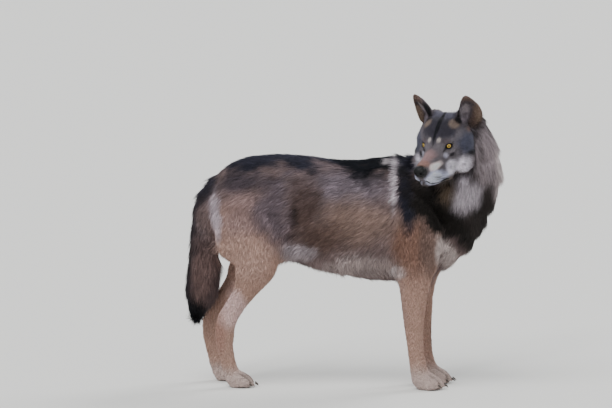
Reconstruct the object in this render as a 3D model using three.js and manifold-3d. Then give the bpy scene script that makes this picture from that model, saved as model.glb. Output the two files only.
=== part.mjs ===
// A timber wolf at life size, standing on four feet with its head turned back over its right shoulder.
// Millimetres, +Z up, +X towards the chest, +Y to the animal's left. The outlines are those of the coat.
// Each form is a sphere's mesh drawn out along a curved spine. The forms are joined, then parted by thin
// cuts.
import * as THREE from "three";
import { mergeVertices } from "three/addons/utils/BufferGeometryUtils.js";
import Module from "manifold-3d";

const wasm = await Module();
wasm.setup();

// ---- driving dimensions ----
const GAP = 0.3; // clearance that parts two neighbouring pieces
const SIDES = { right: -1, left: 1 };
const UP = new THREE.Vector3(0, 0, 1);

const WITHERS_Z = 696; // top of the coat over the shoulders
const CROUP_Z = 703; // top of the coat over the hips
const BRISKET_Z = 311; // lowest line of the chest
const NAPE_Z = 828; // top of the coat behind the ears
const RUMP_X = -436;

const EYE_MIDPOINT = [282, -130, 730]; // between the two eyes
const HEAD_YAW_DEG = -113; // the nose points back past the right shoulder
const HEAD_PITCH_DEG = 11.4; // nose down
const EYE_APART = 83;
const EYE_R = 12.5;
const EYE_TURN = THREE.MathUtils.degToRad(30); // each eye looks this far outwards
const NOSE_REACH = 137; // from between the eyes to the front of the nose pad

const FORE_STANCE = 65; // each front foot's distance from the median plane
const HIND_STANCE = 68;
const FORE_STEP = 18; // how far the left front foot stands ahead of the right one
const HIND_STEP = -55; // the left hind foot stands behind the right one
const FORE_PAW_CUT_Z = 62; // height of the cut between leg and paw
const HIND_PAW_CUT_Z = 56;

// The cut at the root of the neck runs from the withers to the point of the chest.
const NECK_CUT_NORMAL = new THREE.Vector3(270, 0, 185).normalize();
const NECK_CUT_AT = new THREE.Vector3(215, 0, 700);

// ---- materials ----
const coat = (color) => new THREE.MeshStandardMaterial({ color, roughness: 0.85, metalness: 0 });
const MATERIALS = {
  saddle: coat("#5d544d"),
  legs: coat("#a68468"),
  face: coat("#8d8076"),
  ears: coat("#5b4a41"),
  tail: coat("#5a4f49"),
  nose: new THREE.MeshStandardMaterial({ color: "#17161a", roughness: 0.35, metalness: 0 }),
  eyes: new THREE.MeshStandardMaterial({ color: "#c99a35", roughness: 0.08, metalness: 0 }),
  claws: new THREE.MeshStandardMaterial({ color: "#2c2622", roughness: 0.4, metalness: 0 }),
};

// ---- from three.js geometry to solids and back ----
function solidOf(geometry) {
  geometry.deleteAttribute("normal");
  geometry.deleteAttribute("uv");
  const merged = mergeVertices(geometry, 1e-3);
  return new wasm.Manifold(
    new wasm.Mesh({
      numProp: 3,
      vertProperties: merged.attributes.position.array,
      triVerts: new Uint32Array(merged.index.array),
    }),
  );
}

function geometryOf(solid) {
  const mesh = solid.getMesh();
  const geometry = new THREE.BufferGeometry();
  geometry.setAttribute("position", new THREE.BufferAttribute(mesh.vertProperties, 3));
  geometry.setIndex(new THREE.BufferAttribute(mesh.triVerts, 1));
  geometry.computeVertexNormals();
  return geometry;
}

const unite = (solids) => solids.reduce((all, solid) => all.add(solid));
const carve = (solid, others) => others.reduce((rest, other) => rest.subtract(other), solid);

// What lies beyond the plane through `at`, on the side that `normal` points to, half a gap away from it.
function beyond(solid, normal, at) {
  const out = normal.clone().normalize();
  return solid.trimByPlane(out.toArray(), out.dot(at) + GAP / 2);
}

// ---- body forms ----
// A station is { at: [x, y, z], size: [side, front, back] }. `side` is the half width, measured along
// `across`. `front` and `back` reach square to it: up and down on a form that runs along +X, forward and
// rearward on one that runs down. `square` above 2 makes the section boxier, `taper` narrows its back half,
// as a keel, and `roof` its front half. `caps` are the shares of the length that round off each end.
function form(stations, options = {}) {
  const { across = [0, 1, 0], sides = 24, rings = 20, square = 2, taper = 0, roof = 0 } = options;
  const { caps = [0.1, 0.1], grow = 0 } = options;
  const path = new THREE.CatmullRomCurve3(stations.map(({ at }) => new THREE.Vector3(...at)));
  const girth = new THREE.CatmullRomCurve3(stations.map(({ size }) => new THREE.Vector3(...size)));
  const sideways = new THREE.Vector3(...across);
  const geometry = new THREE.SphereGeometry(1, sides, rings);
  const points = geometry.attributes.position;
  const point = new THREE.Vector3();

  for (let i = 0; i < points.count; i++) {
    point.fromBufferAttribute(points, i);
    const share = Math.acos(THREE.MathUtils.clamp(point.y, -1, 1)) / Math.PI;
    const along = (1 - Math.cos(Math.PI * share)) * 0.25 + share * 0.5; // rings close up towards the ends
    const capped = roundEnds(along, caps);
    const tangent = path.getTangent(along).normalize();
    const side = sideways.clone().addScaledVector(tangent, -sideways.dot(tangent)).normalize();
    const front = tangent.clone().cross(side);
    const turn = Math.atan2(point.z, point.x);
    const out = Math.cos(turn);
    const ahead = Math.sin(turn);
    const boxed = (Math.abs(out) ** square + Math.abs(ahead) ** square) ** (-1 / square);
    const narrowed = ahead < 0 ? 1 - taper * ahead * ahead : 1 - roof * ahead * ahead;
    const size = girth.getPoint(along).addScalar(grow);
    const reach = ahead < 0 ? size.z : size.y;
    const beyondEnd = grow * Math.sign(along - 0.5) * (1 - capped);
    point.copy(path.getPoint(along)).addScaledVector(tangent, beyondEnd);
    point.addScaledVector(side, out * boxed * narrowed * size.x * capped);
    point.addScaledVector(front, ahead * boxed * reach * capped);
    points.setXYZ(i, point.x, point.y, point.z);
  }
  return solidOf(geometry);
}

// 0 at the two ends of a form and 1 between its rounded caps.
function roundEnds(along, [first, last]) {
  const fromFirst = Math.min(1, along / first);
  const fromLast = Math.min(1, (1 - along) / last);
  const rise = (part) => Math.sqrt(Math.max(0, 1 - (1 - part) ** 2));
  return rise(fromFirst) * rise(fromLast);
}

function ellipsoid(centre, radii, { turnZ = 0, grow = 0, sides = 12, rings = 8 } = {}) {
  const geometry = new THREE.SphereGeometry(1, sides, rings);
  geometry.scale(...radii.map((r) => r + grow));
  geometry.rotateZ(turnZ);
  geometry.translate(...centre);
  return solidOf(geometry);
}

// ---- trunk, breast and neck, joined as one torso ----
// A station across the body at `x`, from its half width and the heights of its top and lowest lines.
const slice = (x, halfWidth, top, bottom) => ({
  at: [x, 0, (top + bottom) / 2],
  size: [halfWidth, (top - bottom) / 2, (top - bottom) / 2],
});

function trunkForm() {
  return form(
    [
      slice(RUMP_X, 40, 640, 500),
      slice(-390, 82, 664, 436),
      slice(-310, 110, 691, 408),
      slice(-217, 115, CROUP_Z, 386),
      slice(-126, 104, 699, 365),
      slice(-40, 111, 688, 337),
      slice(51, 127, 687, 316),
      slice(130, 132, WITHERS_Z, BRISKET_Z),
      slice(205, 124, 699, 318),
      slice(280, 104, 668, 350),
      slice(345, 60, 590, 420),
    ],
    { sides: 18, rings: 17, square: 2.15, taper: 0.12, caps: [0.05, 0.07] },
  );
}

function breastForm() {
  return form(
    [
      { at: [120, 0, 430], size: [70, 80, 100] },
      { at: [190, 0, 422], size: [88, 90, 108] },
      { at: [262, 0, 434], size: [94, 100, 103] },
      { at: [322, 0, 482], size: [98, 100, 96] },
      { at: [362, 0, 545], size: [98, 98, 90] },
      { at: [384, 0, 600], size: [76, 76, 66] },
    ],
    { sides: 14, rings: 9, taper: 0.1, caps: [0.1, 0.12] },
  );
}

function neckForm() {
  return form(
    [
      { at: [150, 0, 545], size: [96, 134, 140] },
      { at: [240, 0, 556], size: [112, 146, 150] },
      { at: [322, -2, 604], size: [116, 142, 154] },
      { at: [364, -6, 668], size: [116, 124, 124] },
      { at: [358, -12, 735], size: [106, 104, 96] },
      { at: [338, -24, 790], size: [88, 80, 88] },
      { at: [322, -34, NAPE_Z], size: [46, 46, 46] },
    ],
    { sides: 16, rings: 12, square: 2.1, caps: [0.1, 0.14] },
  );
}

// ---- head, in a frame of its own: X forward, Y left, Z up, origin between the eyes ----
const headFrame = new THREE.Matrix4()
  .makeRotationZ(THREE.MathUtils.degToRad(HEAD_YAW_DEG))
  .multiply(new THREE.Matrix4().makeRotationY(THREE.MathUtils.degToRad(HEAD_PITCH_DEG)))
  .setPosition(...EYE_MIDPOINT);
const onHead = (solid) => solid.transform(headFrame.elements);

function headForm(grow = 0) {
  const skull = form(
    [
      slice(-148, 56, 64, -74),
      slice(-116, 88, 80, -106),
      slice(-84, 97, 82, -118),
      slice(-56, 92, 72, -112),
      slice(-30, 77, 51, -100),
      slice(-8, 57, 27, -92),
      slice(14, 40, 4, -88),
      slice(40, 32, -8, -87),
      slice(72, 30, -16, -85),
      slice(104, 28, -24, -81),
      slice(NOSE_REACH - 12, 19, -32, -77),
    ],
    { sides: 18, rings: 17, square: 2.35, roof: 0.1, caps: [0.1, 0.06], grow },
  );
  const jaw = form(
    [
      slice(-50, 46, -70, -113),
      slice(10, 34, -78, -110),
      slice(62, 25, -78, -106),
      slice(112, 15, -76, -99),
    ],
    { sides: 9, rings: 6, caps: [0.1, 0.12], grow },
  );
  const sideForms = Object.values(SIDES).flatMap((side) => [
    // cheek ruff
    ellipsoid([-72, side * 49, -52], [62, 54, 66], { grow, turnZ: side * 0.25, sides: 12, rings: 7 }),
    // cheekbone
    ellipsoid([-24, side * 38, -30], [46, 30, 36], { grow, turnZ: side * -0.4, sides: 10, rings: 6 }),
    // brow
    ellipsoid([-17, side * 35, 8], [18, 19, 14], { grow, turnZ: side * -0.4, sides: 8, rings: 5 }),
    // upper lip, hanging over the jaw
    form(
      [
        { at: [118, side * 10, -63], size: [12, 12, 15] },
        { at: [96, side * 18, -67], size: [14, 16, 22] },
        { at: [58, side * 21, -73], size: [14, 17, 25] },
        { at: [18, side * 28, -75], size: [14, 17, 20] },
        { at: [-8, side * 36, -72], size: [9, 12, 12] },
      ],
      { sides: 8, rings: 6, caps: [0.14, 0.14], grow },
    ),
  ]);
  return onHead(unite([skull, jaw, ...sideForms]));
}

function eyeBall(side, grow = 0) {
  const centre = [-8, side * (EYE_APART / 2 - EYE_R * Math.sin(EYE_TURN)), 0];
  return onHead(ellipsoid(centre, [EYE_R, EYE_R, EYE_R], { grow, sides: 10, rings: 6 }));
}

// The hollow between brow, cheekbone and muzzle in which the eye lies.
function socket(side) {
  const centre = [7, side * (EYE_APART / 2 + 3), -1];
  return onHead(ellipsoid(centre, [12, 15, 10], { turnZ: side * 0.9, sides: 10, rings: 6 }));
}

function nosePad(grow = 0) {
  const pad = form(
    [
      { at: [NOSE_REACH - 28, 0, -43], size: [16, 12, 14] },
      { at: [NOSE_REACH - 14, 0, -45], size: [20, 15, 18] },
      { at: [NOSE_REACH, 0, -48], size: [14, 11, 14] },
    ],
    { sides: 12, rings: 7, square: 2.6, caps: [0.2, 0.3], grow },
  );
  if (grow) return onHead(pad);
  const nostrils = Object.values(SIDES).map((side) =>
    ellipsoid([NOSE_REACH + 1, side * 11, -48], [9, 4, 4.5], { turnZ: side * 0.5, sides: 7, rings: 4 }),
  );
  return onHead(carve(pad, nostrils));
}

// A cupped ear: a broad leaf with a round tip, hollowed from in front.
const EAR_SPINE = [
  { at: [-94, 70, 38], shell: [33, 10, 26], hollow: [17, 18, 10] },
  { at: [-88, 74, 70], shell: [39, 9, 24], hollow: [27, 20, 15] },
  { at: [-78, 77, 94], shell: [33, 8, 19], hollow: [25, 18, 12] },
  { at: [-63, 79, 117], shell: [21, 7, 13], hollow: [14, 14, 7] },
  { at: [-47, 81, 139], shell: [8, 5, 6], hollow: [3, 8, 2] },
];

function ear(side, grow = 0) {
  const across = [side * 0.5, -0.86, 0];
  const leaf = (kind, ahead, options) =>
    form(
      EAR_SPINE.map(({ at: [x, y, z], [kind]: size }) => ({
        at: [x + ahead, side * (y + ahead * 0.5), z],
        size,
      })),
      { across, ...options },
    );
  const shell = leaf("shell", 0, { sides: 10, rings: 9, caps: [0.05, 0.1], grow });
  const hollow = leaf("hollow", 9, { sides: 9, rings: 7, caps: [0.12, 0.16] });
  return { shell: onHead(shell), hollow: onHead(hollow) };
}

// ---- legs: stations run down the leg, `front` is towards +X ----
function foreLeg(side, grow = 0) {
  const step = side === SIDES.left ? FORE_STEP : 0;
  const at = (x, y, z) => [x + step, side * y, z];
  return form(
    [
      { at: at(208, 68, 610), size: [38, 50, 54] },
      { at: at(226, 84, 510), size: [53, 74, 76] },
      { at: at(231, 83, 410), size: [47, 70, 65] },
      { at: at(213, 75, 330), size: [38, 54, 50] },
      { at: at(212, 69, 262), size: [33, 42, 40] },
      { at: at(213, 66, 201), size: [29, 36, 35] },
      { at: at(217, 65, 147), size: [27, 30, 30] },
      { at: at(222, FORE_STANCE, 100), size: [26, 28, 29] },
      { at: at(232, FORE_STANCE, 50), size: [29, 27, 30] },
      { at: at(238, FORE_STANCE, 26), size: [26, 20, 22] },
    ],
    { sides: 10, rings: 16, caps: [0.08, 0.04], grow },
  );
}

function hindLeg(side, grow = 0) {
  const step = side === SIDES.left ? HIND_STEP : 0;
  const low = (x, y, z) => [x + step, side * y, z];
  const high = (x, y, z) => [x + step * 0.3, side * y, z];
  return form(
    [
      { at: high(-292, 58, 612), size: [36, 62, 60] },
      { at: high(-286, 70, 530), size: [54, 92, 104] },
      { at: high(-268, 75, 448), size: [53, 104, 116] },
      { at: [-252 + step * 0.5, side * 77, 376], size: [45, 76, 84] },
      { at: [-284 + step * 0.8, side * 75, 300], size: [34, 44, 42] },
      { at: low(-316, 72, 248), size: [29, 33, 32] },
      { at: low(-344, 70, 204), size: [27, 36, 36] },
      { at: low(-351, 69, 158), size: [25, 35, 35] },
      { at: low(-349, HIND_STANCE, 116), size: [24, 30, 30] },
      { at: low(-338, HIND_STANCE, 70), size: [25, 27, 27] },
      { at: low(-326, HIND_STANCE, 26), size: [23, 20, 24] },
    ],
    { sides: 10, rings: 19, caps: [0.08, 0.04], grow },
  );
}

// ---- feet: a palm and four toes, flat below, each toe with a claw ----
const TOES = [
  { name: "inner", out: -31, back: 20 },
  { name: "mid_inner", out: -11, back: 2 },
  { name: "mid_outer", out: 11, back: 0 },
  { name: "outer", out: 31, back: 18 },
];
const FEET = {
  front: { heel: 203, length: 106, stance: FORE_STANCE, step: FORE_STEP, scale: 1 },
  hind: { heel: -352, length: 96, stance: HIND_STANCE, step: HIND_STEP, scale: 0.88 },
};

function toeTip(foot, side, toe) {
  const { heel, length, stance, step, scale } = foot;
  const start = heel + (side === SIDES.left ? step : 0);
  return [start + length - toe.back * scale, side * (stance + toe.out * scale), 14 * scale];
}

function pawForm(foot, side, grow = 0) {
  const { heel, length, stance, step, scale } = foot;
  const start = heel + (side === SIDES.left ? step : 0);
  const y = side * stance;
  const palm = form(
    [
      { at: [start, y, 26 * scale], size: [14, 12, 20] },
      { at: [start + length * 0.22, y, 32 * scale], size: [32 * scale, 30, 42] },
      { at: [start + length * 0.52, y, 28 * scale], size: [40 * scale, 26, 42] },
      { at: [start + length * 0.78, y, 20 * scale], size: [36 * scale, 17, 30] },
      { at: [start + length * 0.9, y, 14], size: [26 * scale, 9, 20] },
    ],
    { sides: 9, rings: 6, square: 2.3, caps: [0.12, 0.12], grow },
  );
  const toes = TOES.map((toe) => {
    const [x, toeY] = toeTip(foot, side, toe);
    const radii = [25 * scale, 11.5 * scale, 19 * scale];
    return ellipsoid([x - 25 * scale, toeY, 14 * scale], radii, { grow, sides: 7, rings: 5 });
  });
  return unite([palm, ...toes]);
}

function claw(foot, side, toe) {
  const [x, y, z] = toeTip(foot, side, toe);
  const s = foot.scale;
  return form(
    [
      { at: [x - 11 * s, y, z + 4 * s], size: [3.4, 3.8, 3.8] },
      { at: [x - 2 * s, y, z + 2 * s], size: [3, 3.4, 3.4] },
      { at: [x + 6 * s, y, z - 3 * s], size: [2, 2.4, 2.4] },
      { at: [x + 9 * s, y, z - 8 * s], size: [0.9, 1, 1] },
    ],
    { sides: 4, rings: 4, caps: [0.1, 0.15] },
  );
}

// ---- tail, hanging ----
function tailForm(grow = 0) {
  return form(
    [
      { at: [-346, 0, 648], size: [32, 32, 36] },
      { at: [-398, 0, 602], size: [40, 42, 45] },
      { at: [-420, 0, 520], size: [44, 46, 46] },
      { at: [-419, 0, 440], size: [51, 54, 55] },
      { at: [-418, 0, 363], size: [56, 60, 62] },
      { at: [-425, 0, 290], size: [56, 64, 65] },
      { at: [-438, 0, 238], size: [44, 50, 50] },
      { at: [-447, 0, 203], size: [27, 32, 31] },
      { at: [-449, 0, 180], size: [10, 10, 10] },
    ],
    { sides: 12, rings: 15, caps: [0.08, 0.05], grow },
  );
}

// ---- assembly: every piece keeps clear of its neighbours by the gap ----
const pieces = [];
const addPiece = (name, solid, material) => pieces.push({ name, solid, material });

const bothSides = (make) => Object.entries(SIDES).flatMap(([sideName, side]) => make(sideName, side));
const grownHead = headForm(GAP);
const hollows = Object.values(SIDES).flatMap((side) => [eyeBall(side, GAP), socket(side), ear(side).hollow]);

addPiece("head", carve(headForm(), [nosePad(GAP), ...hollows]), MATERIALS.face);
addPiece("nose", nosePad(), MATERIALS.nose);
bothSides((sideName, side) => {
  const { shell, hollow } = ear(side);
  addPiece(`eye_${sideName}`, eyeBall(side), MATERIALS.eyes);
  addPiece(`ear_${sideName}`, carve(shell, [hollow, grownHead]), MATERIALS.ears);
});

const legsGrown = [];
for (const [legName, legForm, foot, cutZ] of [
  ["front", foreLeg, FEET.front, FORE_PAW_CUT_Z],
  ["hind", hindLeg, FEET.hind, HIND_PAW_CUT_Z],
]) {
  bothSides((sideName, side) => {
    const whole = legForm(side).add(pawForm(foot, side)).trimByPlane(UP.toArray(), 0);
    const cutAt = new THREE.Vector3(0, 0, cutZ);
    addPiece(`leg_${legName}_${sideName}`, beyond(whole, UP, cutAt), MATERIALS.legs);
    addPiece(`paw_${legName}_${sideName}`, beyond(whole, UP.clone().negate(), cutAt), MATERIALS.legs);
    const grownPaw = pawForm(foot, side, GAP);
    TOES.forEach((toe) => {
      const bare = carve(claw(foot, side, toe), [grownPaw]);
      addPiece(`claw_${legName}_${sideName}_${toe.name}`, bare, MATERIALS.claws);
    });
    legsGrown.push(legForm(side, GAP));
  });
}

addPiece("tail", carve(tailForm(), legsGrown), MATERIALS.tail);
const grownEars = Object.values(SIDES).map((side) => ear(side, GAP).shell);
const torso = carve(unite([trunkForm(), breastForm(), neckForm()]), [
  ...legsGrown,
  tailForm(GAP),
  grownHead,
  ...grownEars,
]);
addPiece("neck", beyond(torso, NECK_CUT_NORMAL, NECK_CUT_AT), MATERIALS.saddle);
addPiece("trunk", beyond(torso, NECK_CUT_NORMAL.clone().negate(), NECK_CUT_AT), MATERIALS.saddle);

const animal = new THREE.Group();
for (const { name, solid, material } of pieces) {
  const mesh = new THREE.Mesh(geometryOf(solid), material);
  mesh.name = name;
  animal.add(mesh);
}

// The origin is on the floor, under the middle of the model's box.
const box = new THREE.Box3().setFromObject(animal);
const middle = box.getCenter(new THREE.Vector3());
animal.position.set(-middle.x, -middle.y, 0);

const wolf = new THREE.Group();
wolf.add(animal);
export default wolf;
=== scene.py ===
"""A timber wolf at life size, as a museum would mount it: one skin, a coat of tufts, eyes, nose and claws."""

import logging
import math
from dataclasses import dataclass, field, fields
from enum import Enum
from typing import Callable

import bmesh
import bpy
import numpy as np
from mathutils import Matrix, Vector
from mathutils.bvhtree import BVHTree
from mathutils.kdtree import KDTree


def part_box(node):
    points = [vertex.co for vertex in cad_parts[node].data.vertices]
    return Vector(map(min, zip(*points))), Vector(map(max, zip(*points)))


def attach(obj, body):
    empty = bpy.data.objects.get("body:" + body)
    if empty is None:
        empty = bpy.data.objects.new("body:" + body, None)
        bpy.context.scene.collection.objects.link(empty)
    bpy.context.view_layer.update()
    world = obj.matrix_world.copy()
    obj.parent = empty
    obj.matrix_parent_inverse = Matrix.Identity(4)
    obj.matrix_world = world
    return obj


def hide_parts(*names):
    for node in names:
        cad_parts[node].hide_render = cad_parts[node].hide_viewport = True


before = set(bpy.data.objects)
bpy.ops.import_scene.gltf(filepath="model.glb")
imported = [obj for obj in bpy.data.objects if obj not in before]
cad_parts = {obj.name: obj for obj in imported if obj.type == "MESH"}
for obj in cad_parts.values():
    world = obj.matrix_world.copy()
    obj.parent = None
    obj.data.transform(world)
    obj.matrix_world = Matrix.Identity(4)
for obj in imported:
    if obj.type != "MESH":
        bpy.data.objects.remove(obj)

log = logging.getLogger("wolf")

Array = np.ndarray
BODY = "root"
HUES = "Coat"
MM = 0.001
WELD = 1e-5
TUFT_PATCH = 0.003
UPRIGHT = Matrix.Identity(4)
SIDES = {"right": -1, "left": 1}
LEGS = ("front_right", "front_left", "hind_right", "hind_left")
TOES = ("inner", "mid_inner", "mid_outer", "outer")
PAWS = tuple(f"paw_{leg}" for leg in LEGS)
FLESH = ("trunk", "neck", "head", "tail", "ear_right", "ear_left", *(f"leg_{leg}" for leg in LEGS), *PAWS)


class Part(Enum):
    """A part of the body, by the first word of the nodes that make it."""

    TRUNK = 0
    NECK = 1
    HEAD = 2
    TAIL = 3
    EAR = 4
    LEG = 5
    PAW = 6


# ---- small tools ----
def linear(colour: str) -> Array:
    """Turns an sRGB hex colour to linear.

    Args:
        colour: six hex digits after a "#".

    Returns:
        Three linear values from 0 to 1.
    """
    channels = np.array([int(colour[i : i + 2], 16) for i in (1, 3, 5)]) / 255
    return np.where(channels <= 0.04045, channels / 12.92, ((channels + 0.055) / 1.055) ** 2.4)


def rgba(colour: str) -> tuple[float, ...]:
    """Gives an sRGB hex colour as a linear one with full alpha."""
    return (*linear(colour), 1.0)


def smooth(low: float, high: float, values: Array) -> Array:
    """Gives 0 at `low`, 1 at `high`, an even slope between and no more past either, whichever is larger."""
    share = np.clip((values - low) / (high - low), 0, 1)
    return share * share * (3 - 2 * share)


def unit(vectors: Array) -> Array:
    """Gives each row of an array at length 1."""
    return vectors / np.maximum(np.linalg.norm(vectors, axis=-1, keepdims=True), 1e-9)


def unit_sum(shares: Array) -> Array:
    """Gives rows that each add up to 1."""
    return shares / np.maximum(shares.sum(axis=1, keepdims=True), 1e-9)


def across(vectors: Array, normals: Array) -> Array:
    """Takes out of each vector what runs along its normal, and gives the rest at length 1."""
    return unit(vectors - np.sum(vectors * normals, axis=1, keepdims=True) * normals)


def waves(points: Array, size: float, seed: int, count: int = 10) -> Array:
    """A smooth wandering value in space, the sum of a few plane waves.

    Args:
        points: n places, in metres.
        size: the usual width of a swell, in metres.
        seed: picks the waves.
        count: how many waves are added.

    Returns:
        n values, mostly from -1 to 1.
    """
    rng = np.random.default_rng(seed)
    headings = unit(rng.normal(size=(count, 3))) * rng.uniform(0.6, 1.5, (count, 1)) * math.pi / size
    phases = rng.uniform(0, 2 * math.pi, count)
    return np.sin(points @ headings.T + phases).sum(axis=1) / math.sqrt(count)


def diffuse(values: Array, edges: Array, rounds: int) -> Array:
    """Evens out values over a mesh.

    Args:
        values: one row for each point.
        edges: pairs of point numbers.
        rounds: how many times each point takes half of its neighbours' mean.

    Returns:
        The evened values.
    """
    count = len(values)
    both = np.concatenate([edges, edges[:, ::-1]])
    degree = np.maximum(np.bincount(both[:, 0], minlength=count), 1)
    result = values.reshape(count, -1).astype(float)
    for _ in range(rounds):
        for column in result.T:
            mean = np.bincount(both[:, 0], weights=column[both[:, 1]], minlength=count) / degree
            column[:] = 0.5 * column + 0.5 * mean
    return result.reshape(values.shape)


def choose(*objects: bpy.types.Object) -> None:
    """Leaves only some objects selected, with the first of them active.

    Args:
        objects: what to select.
    """
    bpy.ops.object.select_all(action="DESELECT")
    for piece in objects:
        piece.select_set(True)
    bpy.context.view_layer.objects.active = objects[0]


def finish_modifier(piece: bpy.types.Object, kind: str, **settings: object) -> None:
    """Adds a modifier to a piece and applies it.

    Args:
        piece: the object.
        kind: Blender's name of the modifier.
        settings: what the modifier is set to.
    """
    modifier = piece.modifiers.new(kind.title(), kind)
    for name, value in settings.items():
        setattr(modifier, name, value)
    choose(piece)
    bpy.ops.object.modifier_apply(modifier=modifier.name)


def smooth_shading(piece: bpy.types.Object) -> None:
    """Shades a piece without its facets."""
    choose(piece)
    bpy.ops.object.shade_smooth()


def new_piece(name: str, data: bpy.types.ID) -> bpy.types.Object:
    """Puts a mesh or a curve in the scene.

    Args:
        name: the piece's name, which its data takes too.
        data: the mesh or curve.

    Returns:
        The object.
    """
    data.name = name
    piece = bpy.data.objects.new(name, data)
    bpy.context.scene.collection.objects.link(piece)
    return piece


def welded_copy(node: str, name: str) -> bpy.types.Object:
    """Copies a CAD node and joins the corners that its loose triangles share.

    Args:
        node: the node.
        name: the copy's name.

    Returns:
        The copy, with no material.
    """
    piece = new_piece(name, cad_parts[node].data.copy())
    piece.data.materials.clear()
    choose(piece)
    bpy.ops.object.mode_set(mode="EDIT")
    bpy.ops.mesh.select_all(action="SELECT")
    bpy.ops.mesh.remove_doubles(threshold=WELD)
    bpy.ops.object.mode_set(mode="OBJECT")
    return piece


def read(items: bpy.types.bpy_prop_collection, key: str, width: int, kind: type = np.float32) -> Array:
    """Reads one value of each point, edge or face of a mesh.

    Args:
        items: the points, edges or faces.
        key: the value's name.
        width: how many numbers the value has.
        kind: how Blender stores them.

    Returns:
        An array with a row for each.
    """
    values = np.empty(len(items) * width, kind)
    items.foreach_get(key, values)
    return values.reshape(-1, width).astype(float if kind is np.float32 else int)


def coordinates(mesh: bpy.types.Mesh) -> Array:
    """Gives a mesh's points as an array."""
    return read(mesh.vertices, "co", 3)


def set_coordinates(mesh: bpy.types.Mesh, points: Array) -> None:
    """Moves a mesh's points."""
    mesh.vertices.foreach_set("co", points.astype(np.float32).ravel())
    mesh.update()


def normals_of(mesh: bpy.types.Mesh) -> Array:
    """Gives the normals at a mesh's points."""
    return read(mesh.vertex_normals, "vector", 3)


def write_hues(mesh: bpy.types.Mesh, colours: Array) -> None:
    """Writes linear colours on a mesh's points, where the materials of hair look for them."""
    attribute = mesh.color_attributes.new(HUES, "FLOAT_COLOR", "POINT")
    values = np.column_stack([colours, np.ones(len(colours))])
    attribute.data.foreach_set("color", values.astype(np.float32).ravel())


# ---- where things are ----
def middle(node: str) -> Array:
    """Gives the middle of a CAD node's box."""
    low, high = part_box(node)
    return (np.array(low) + np.array(high)) / 2


@dataclass
class HeadFrame:
    """The head's own frame: x towards the nose, y to its left, z up, origin between the eyes."""

    yaw_deg: float = -113.0
    pitch_deg: float = 11.4
    eyes_back: float = 0.008
    origin: Array = field(init=False)
    axes: Array = field(init=False)

    def __post_init__(self) -> None:
        """Finds the origin from the two eyeballs."""
        yaw = Matrix.Rotation(math.radians(self.yaw_deg), 3, "Z")
        self.axes = np.array(yaw @ Matrix.Rotation(math.radians(self.pitch_deg), 3, "Y"))
        between = (middle("eye_right") + middle("eye_left")) / 2
        self.origin = between + self.axes[:, 0] * self.eyes_back

    def inside(self, points: Array) -> Array:
        """Gives places of the whole model in the head's frame."""
        return (points - self.origin) @ self.axes

    def outside(self, points: Array) -> Array:
        """Gives places in the head's frame in that of the whole model."""
        return np.asarray(points) @ self.axes.T + self.origin


@dataclass
class EyeSeat:
    """Where one eyeball sits, and the opening between its lids, as angles about its middle."""

    head: HeadFrame
    name: str
    radius: float = 0.0125
    turn_deg: float = 30.0
    raise_deg: float = 4.0
    slant_deg: float = 21.0
    inner_deg: float = 45.0
    outer_deg: float = 52.0
    upper_deg: float = 22.0
    lower_deg: float = 25.0
    roundness: float = 1.4
    reach: float = 0.04
    lid_depth: float = 0.002
    degrees_per_metre: float = 2200.0
    middle: Array = field(init=False)
    out: Array = field(init=False)
    aside: Array = field(init=False)
    up: Array = field(init=False)

    def __post_init__(self) -> None:
        """Works out the way the eye looks."""
        side, turn, lift = SIDES[self.name], math.radians(self.turn_deg), math.radians(self.raise_deg)
        self.middle = middle(f"eye_{self.name}")
        gaze = (math.cos(turn) * math.cos(lift), side * math.sin(turn) * math.cos(lift), math.sin(lift))
        self.out = self.head.axes @ np.array(gaze)
        self.aside = self.head.axes @ np.array((-math.sin(turn), side * math.cos(turn), 0.0))
        self.up = np.cross(self.out, self.aside) * side

    def openness(self, points: Array) -> Array:
        """Measures places against the opening, whose corners slant up and out.

        Args:
            points: n places, in metres.

        Returns:
            n values: 1 on the edge of the lids, less inside the opening and more outside it.
        """
        rays = unit(points - self.middle)
        aside = np.degrees(np.arctan2(rays @ self.aside, rays @ self.out))
        up = np.degrees(np.arcsin(np.clip(rays @ self.up, -1, 1)))
        slant = math.radians(self.slant_deg)
        along = aside * math.cos(slant) + up * math.sin(slant)
        over = up * math.cos(slant) - aside * math.sin(slant)
        tall = np.where(over > 0, self.upper_deg, self.lower_deg)
        long = np.where(along > 0, self.outer_deg, self.inner_deg)
        far = (np.abs(along) / long) ** self.roundness + (np.abs(over) / tall) ** self.roundness
        return far ** (1 / self.roundness)

    def margin(self, points: Array) -> Array:
        """Measures how far places are from the lids.

        Args:
            points: n places, in metres.

        Returns:
            n distances in degrees outside the edge of the lids, larger off the eyeball, 90 when far from it.
        """
        rays = points - self.middle
        turned = np.degrees(np.arccos(np.clip(unit(rays) @ self.out, -1, 1)))
        far = np.linalg.norm(rays, axis=1)
        margin = turned * (1 - 1 / np.maximum(self.openness(points), 1e-3))
        off_ball = np.maximum(far - self.radius - self.lid_depth, 0)
        return np.where(far < self.reach, margin + self.degrees_per_metre * off_ball, 90.0)


# ---- the skin ----
@dataclass(frozen=True)
class Swell:
    """A rounding that fills a crease of the flesh, in millimetres in the frame of what it's added to."""

    centre: tuple[float, float, float]
    radii: tuple[float, float, float]

    def add(self, shape: bmesh.types.BMesh, centre: Array, turn: Matrix = UPRIGHT) -> None:
        """Adds the rounding to a shape.

        Args:
            shape: the shape.
            centre: where its middle comes, in metres in the frame of the whole model.
            turn: how its axes are turned.
        """
        stretch = Matrix.Diagonal((*(Vector(self.radii) * MM), 1))
        place = Matrix.Translation(Vector(centre)) @ turn @ stretch
        bmesh.ops.create_icosphere(shape, subdivisions=2, radius=1, matrix=place)


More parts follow.
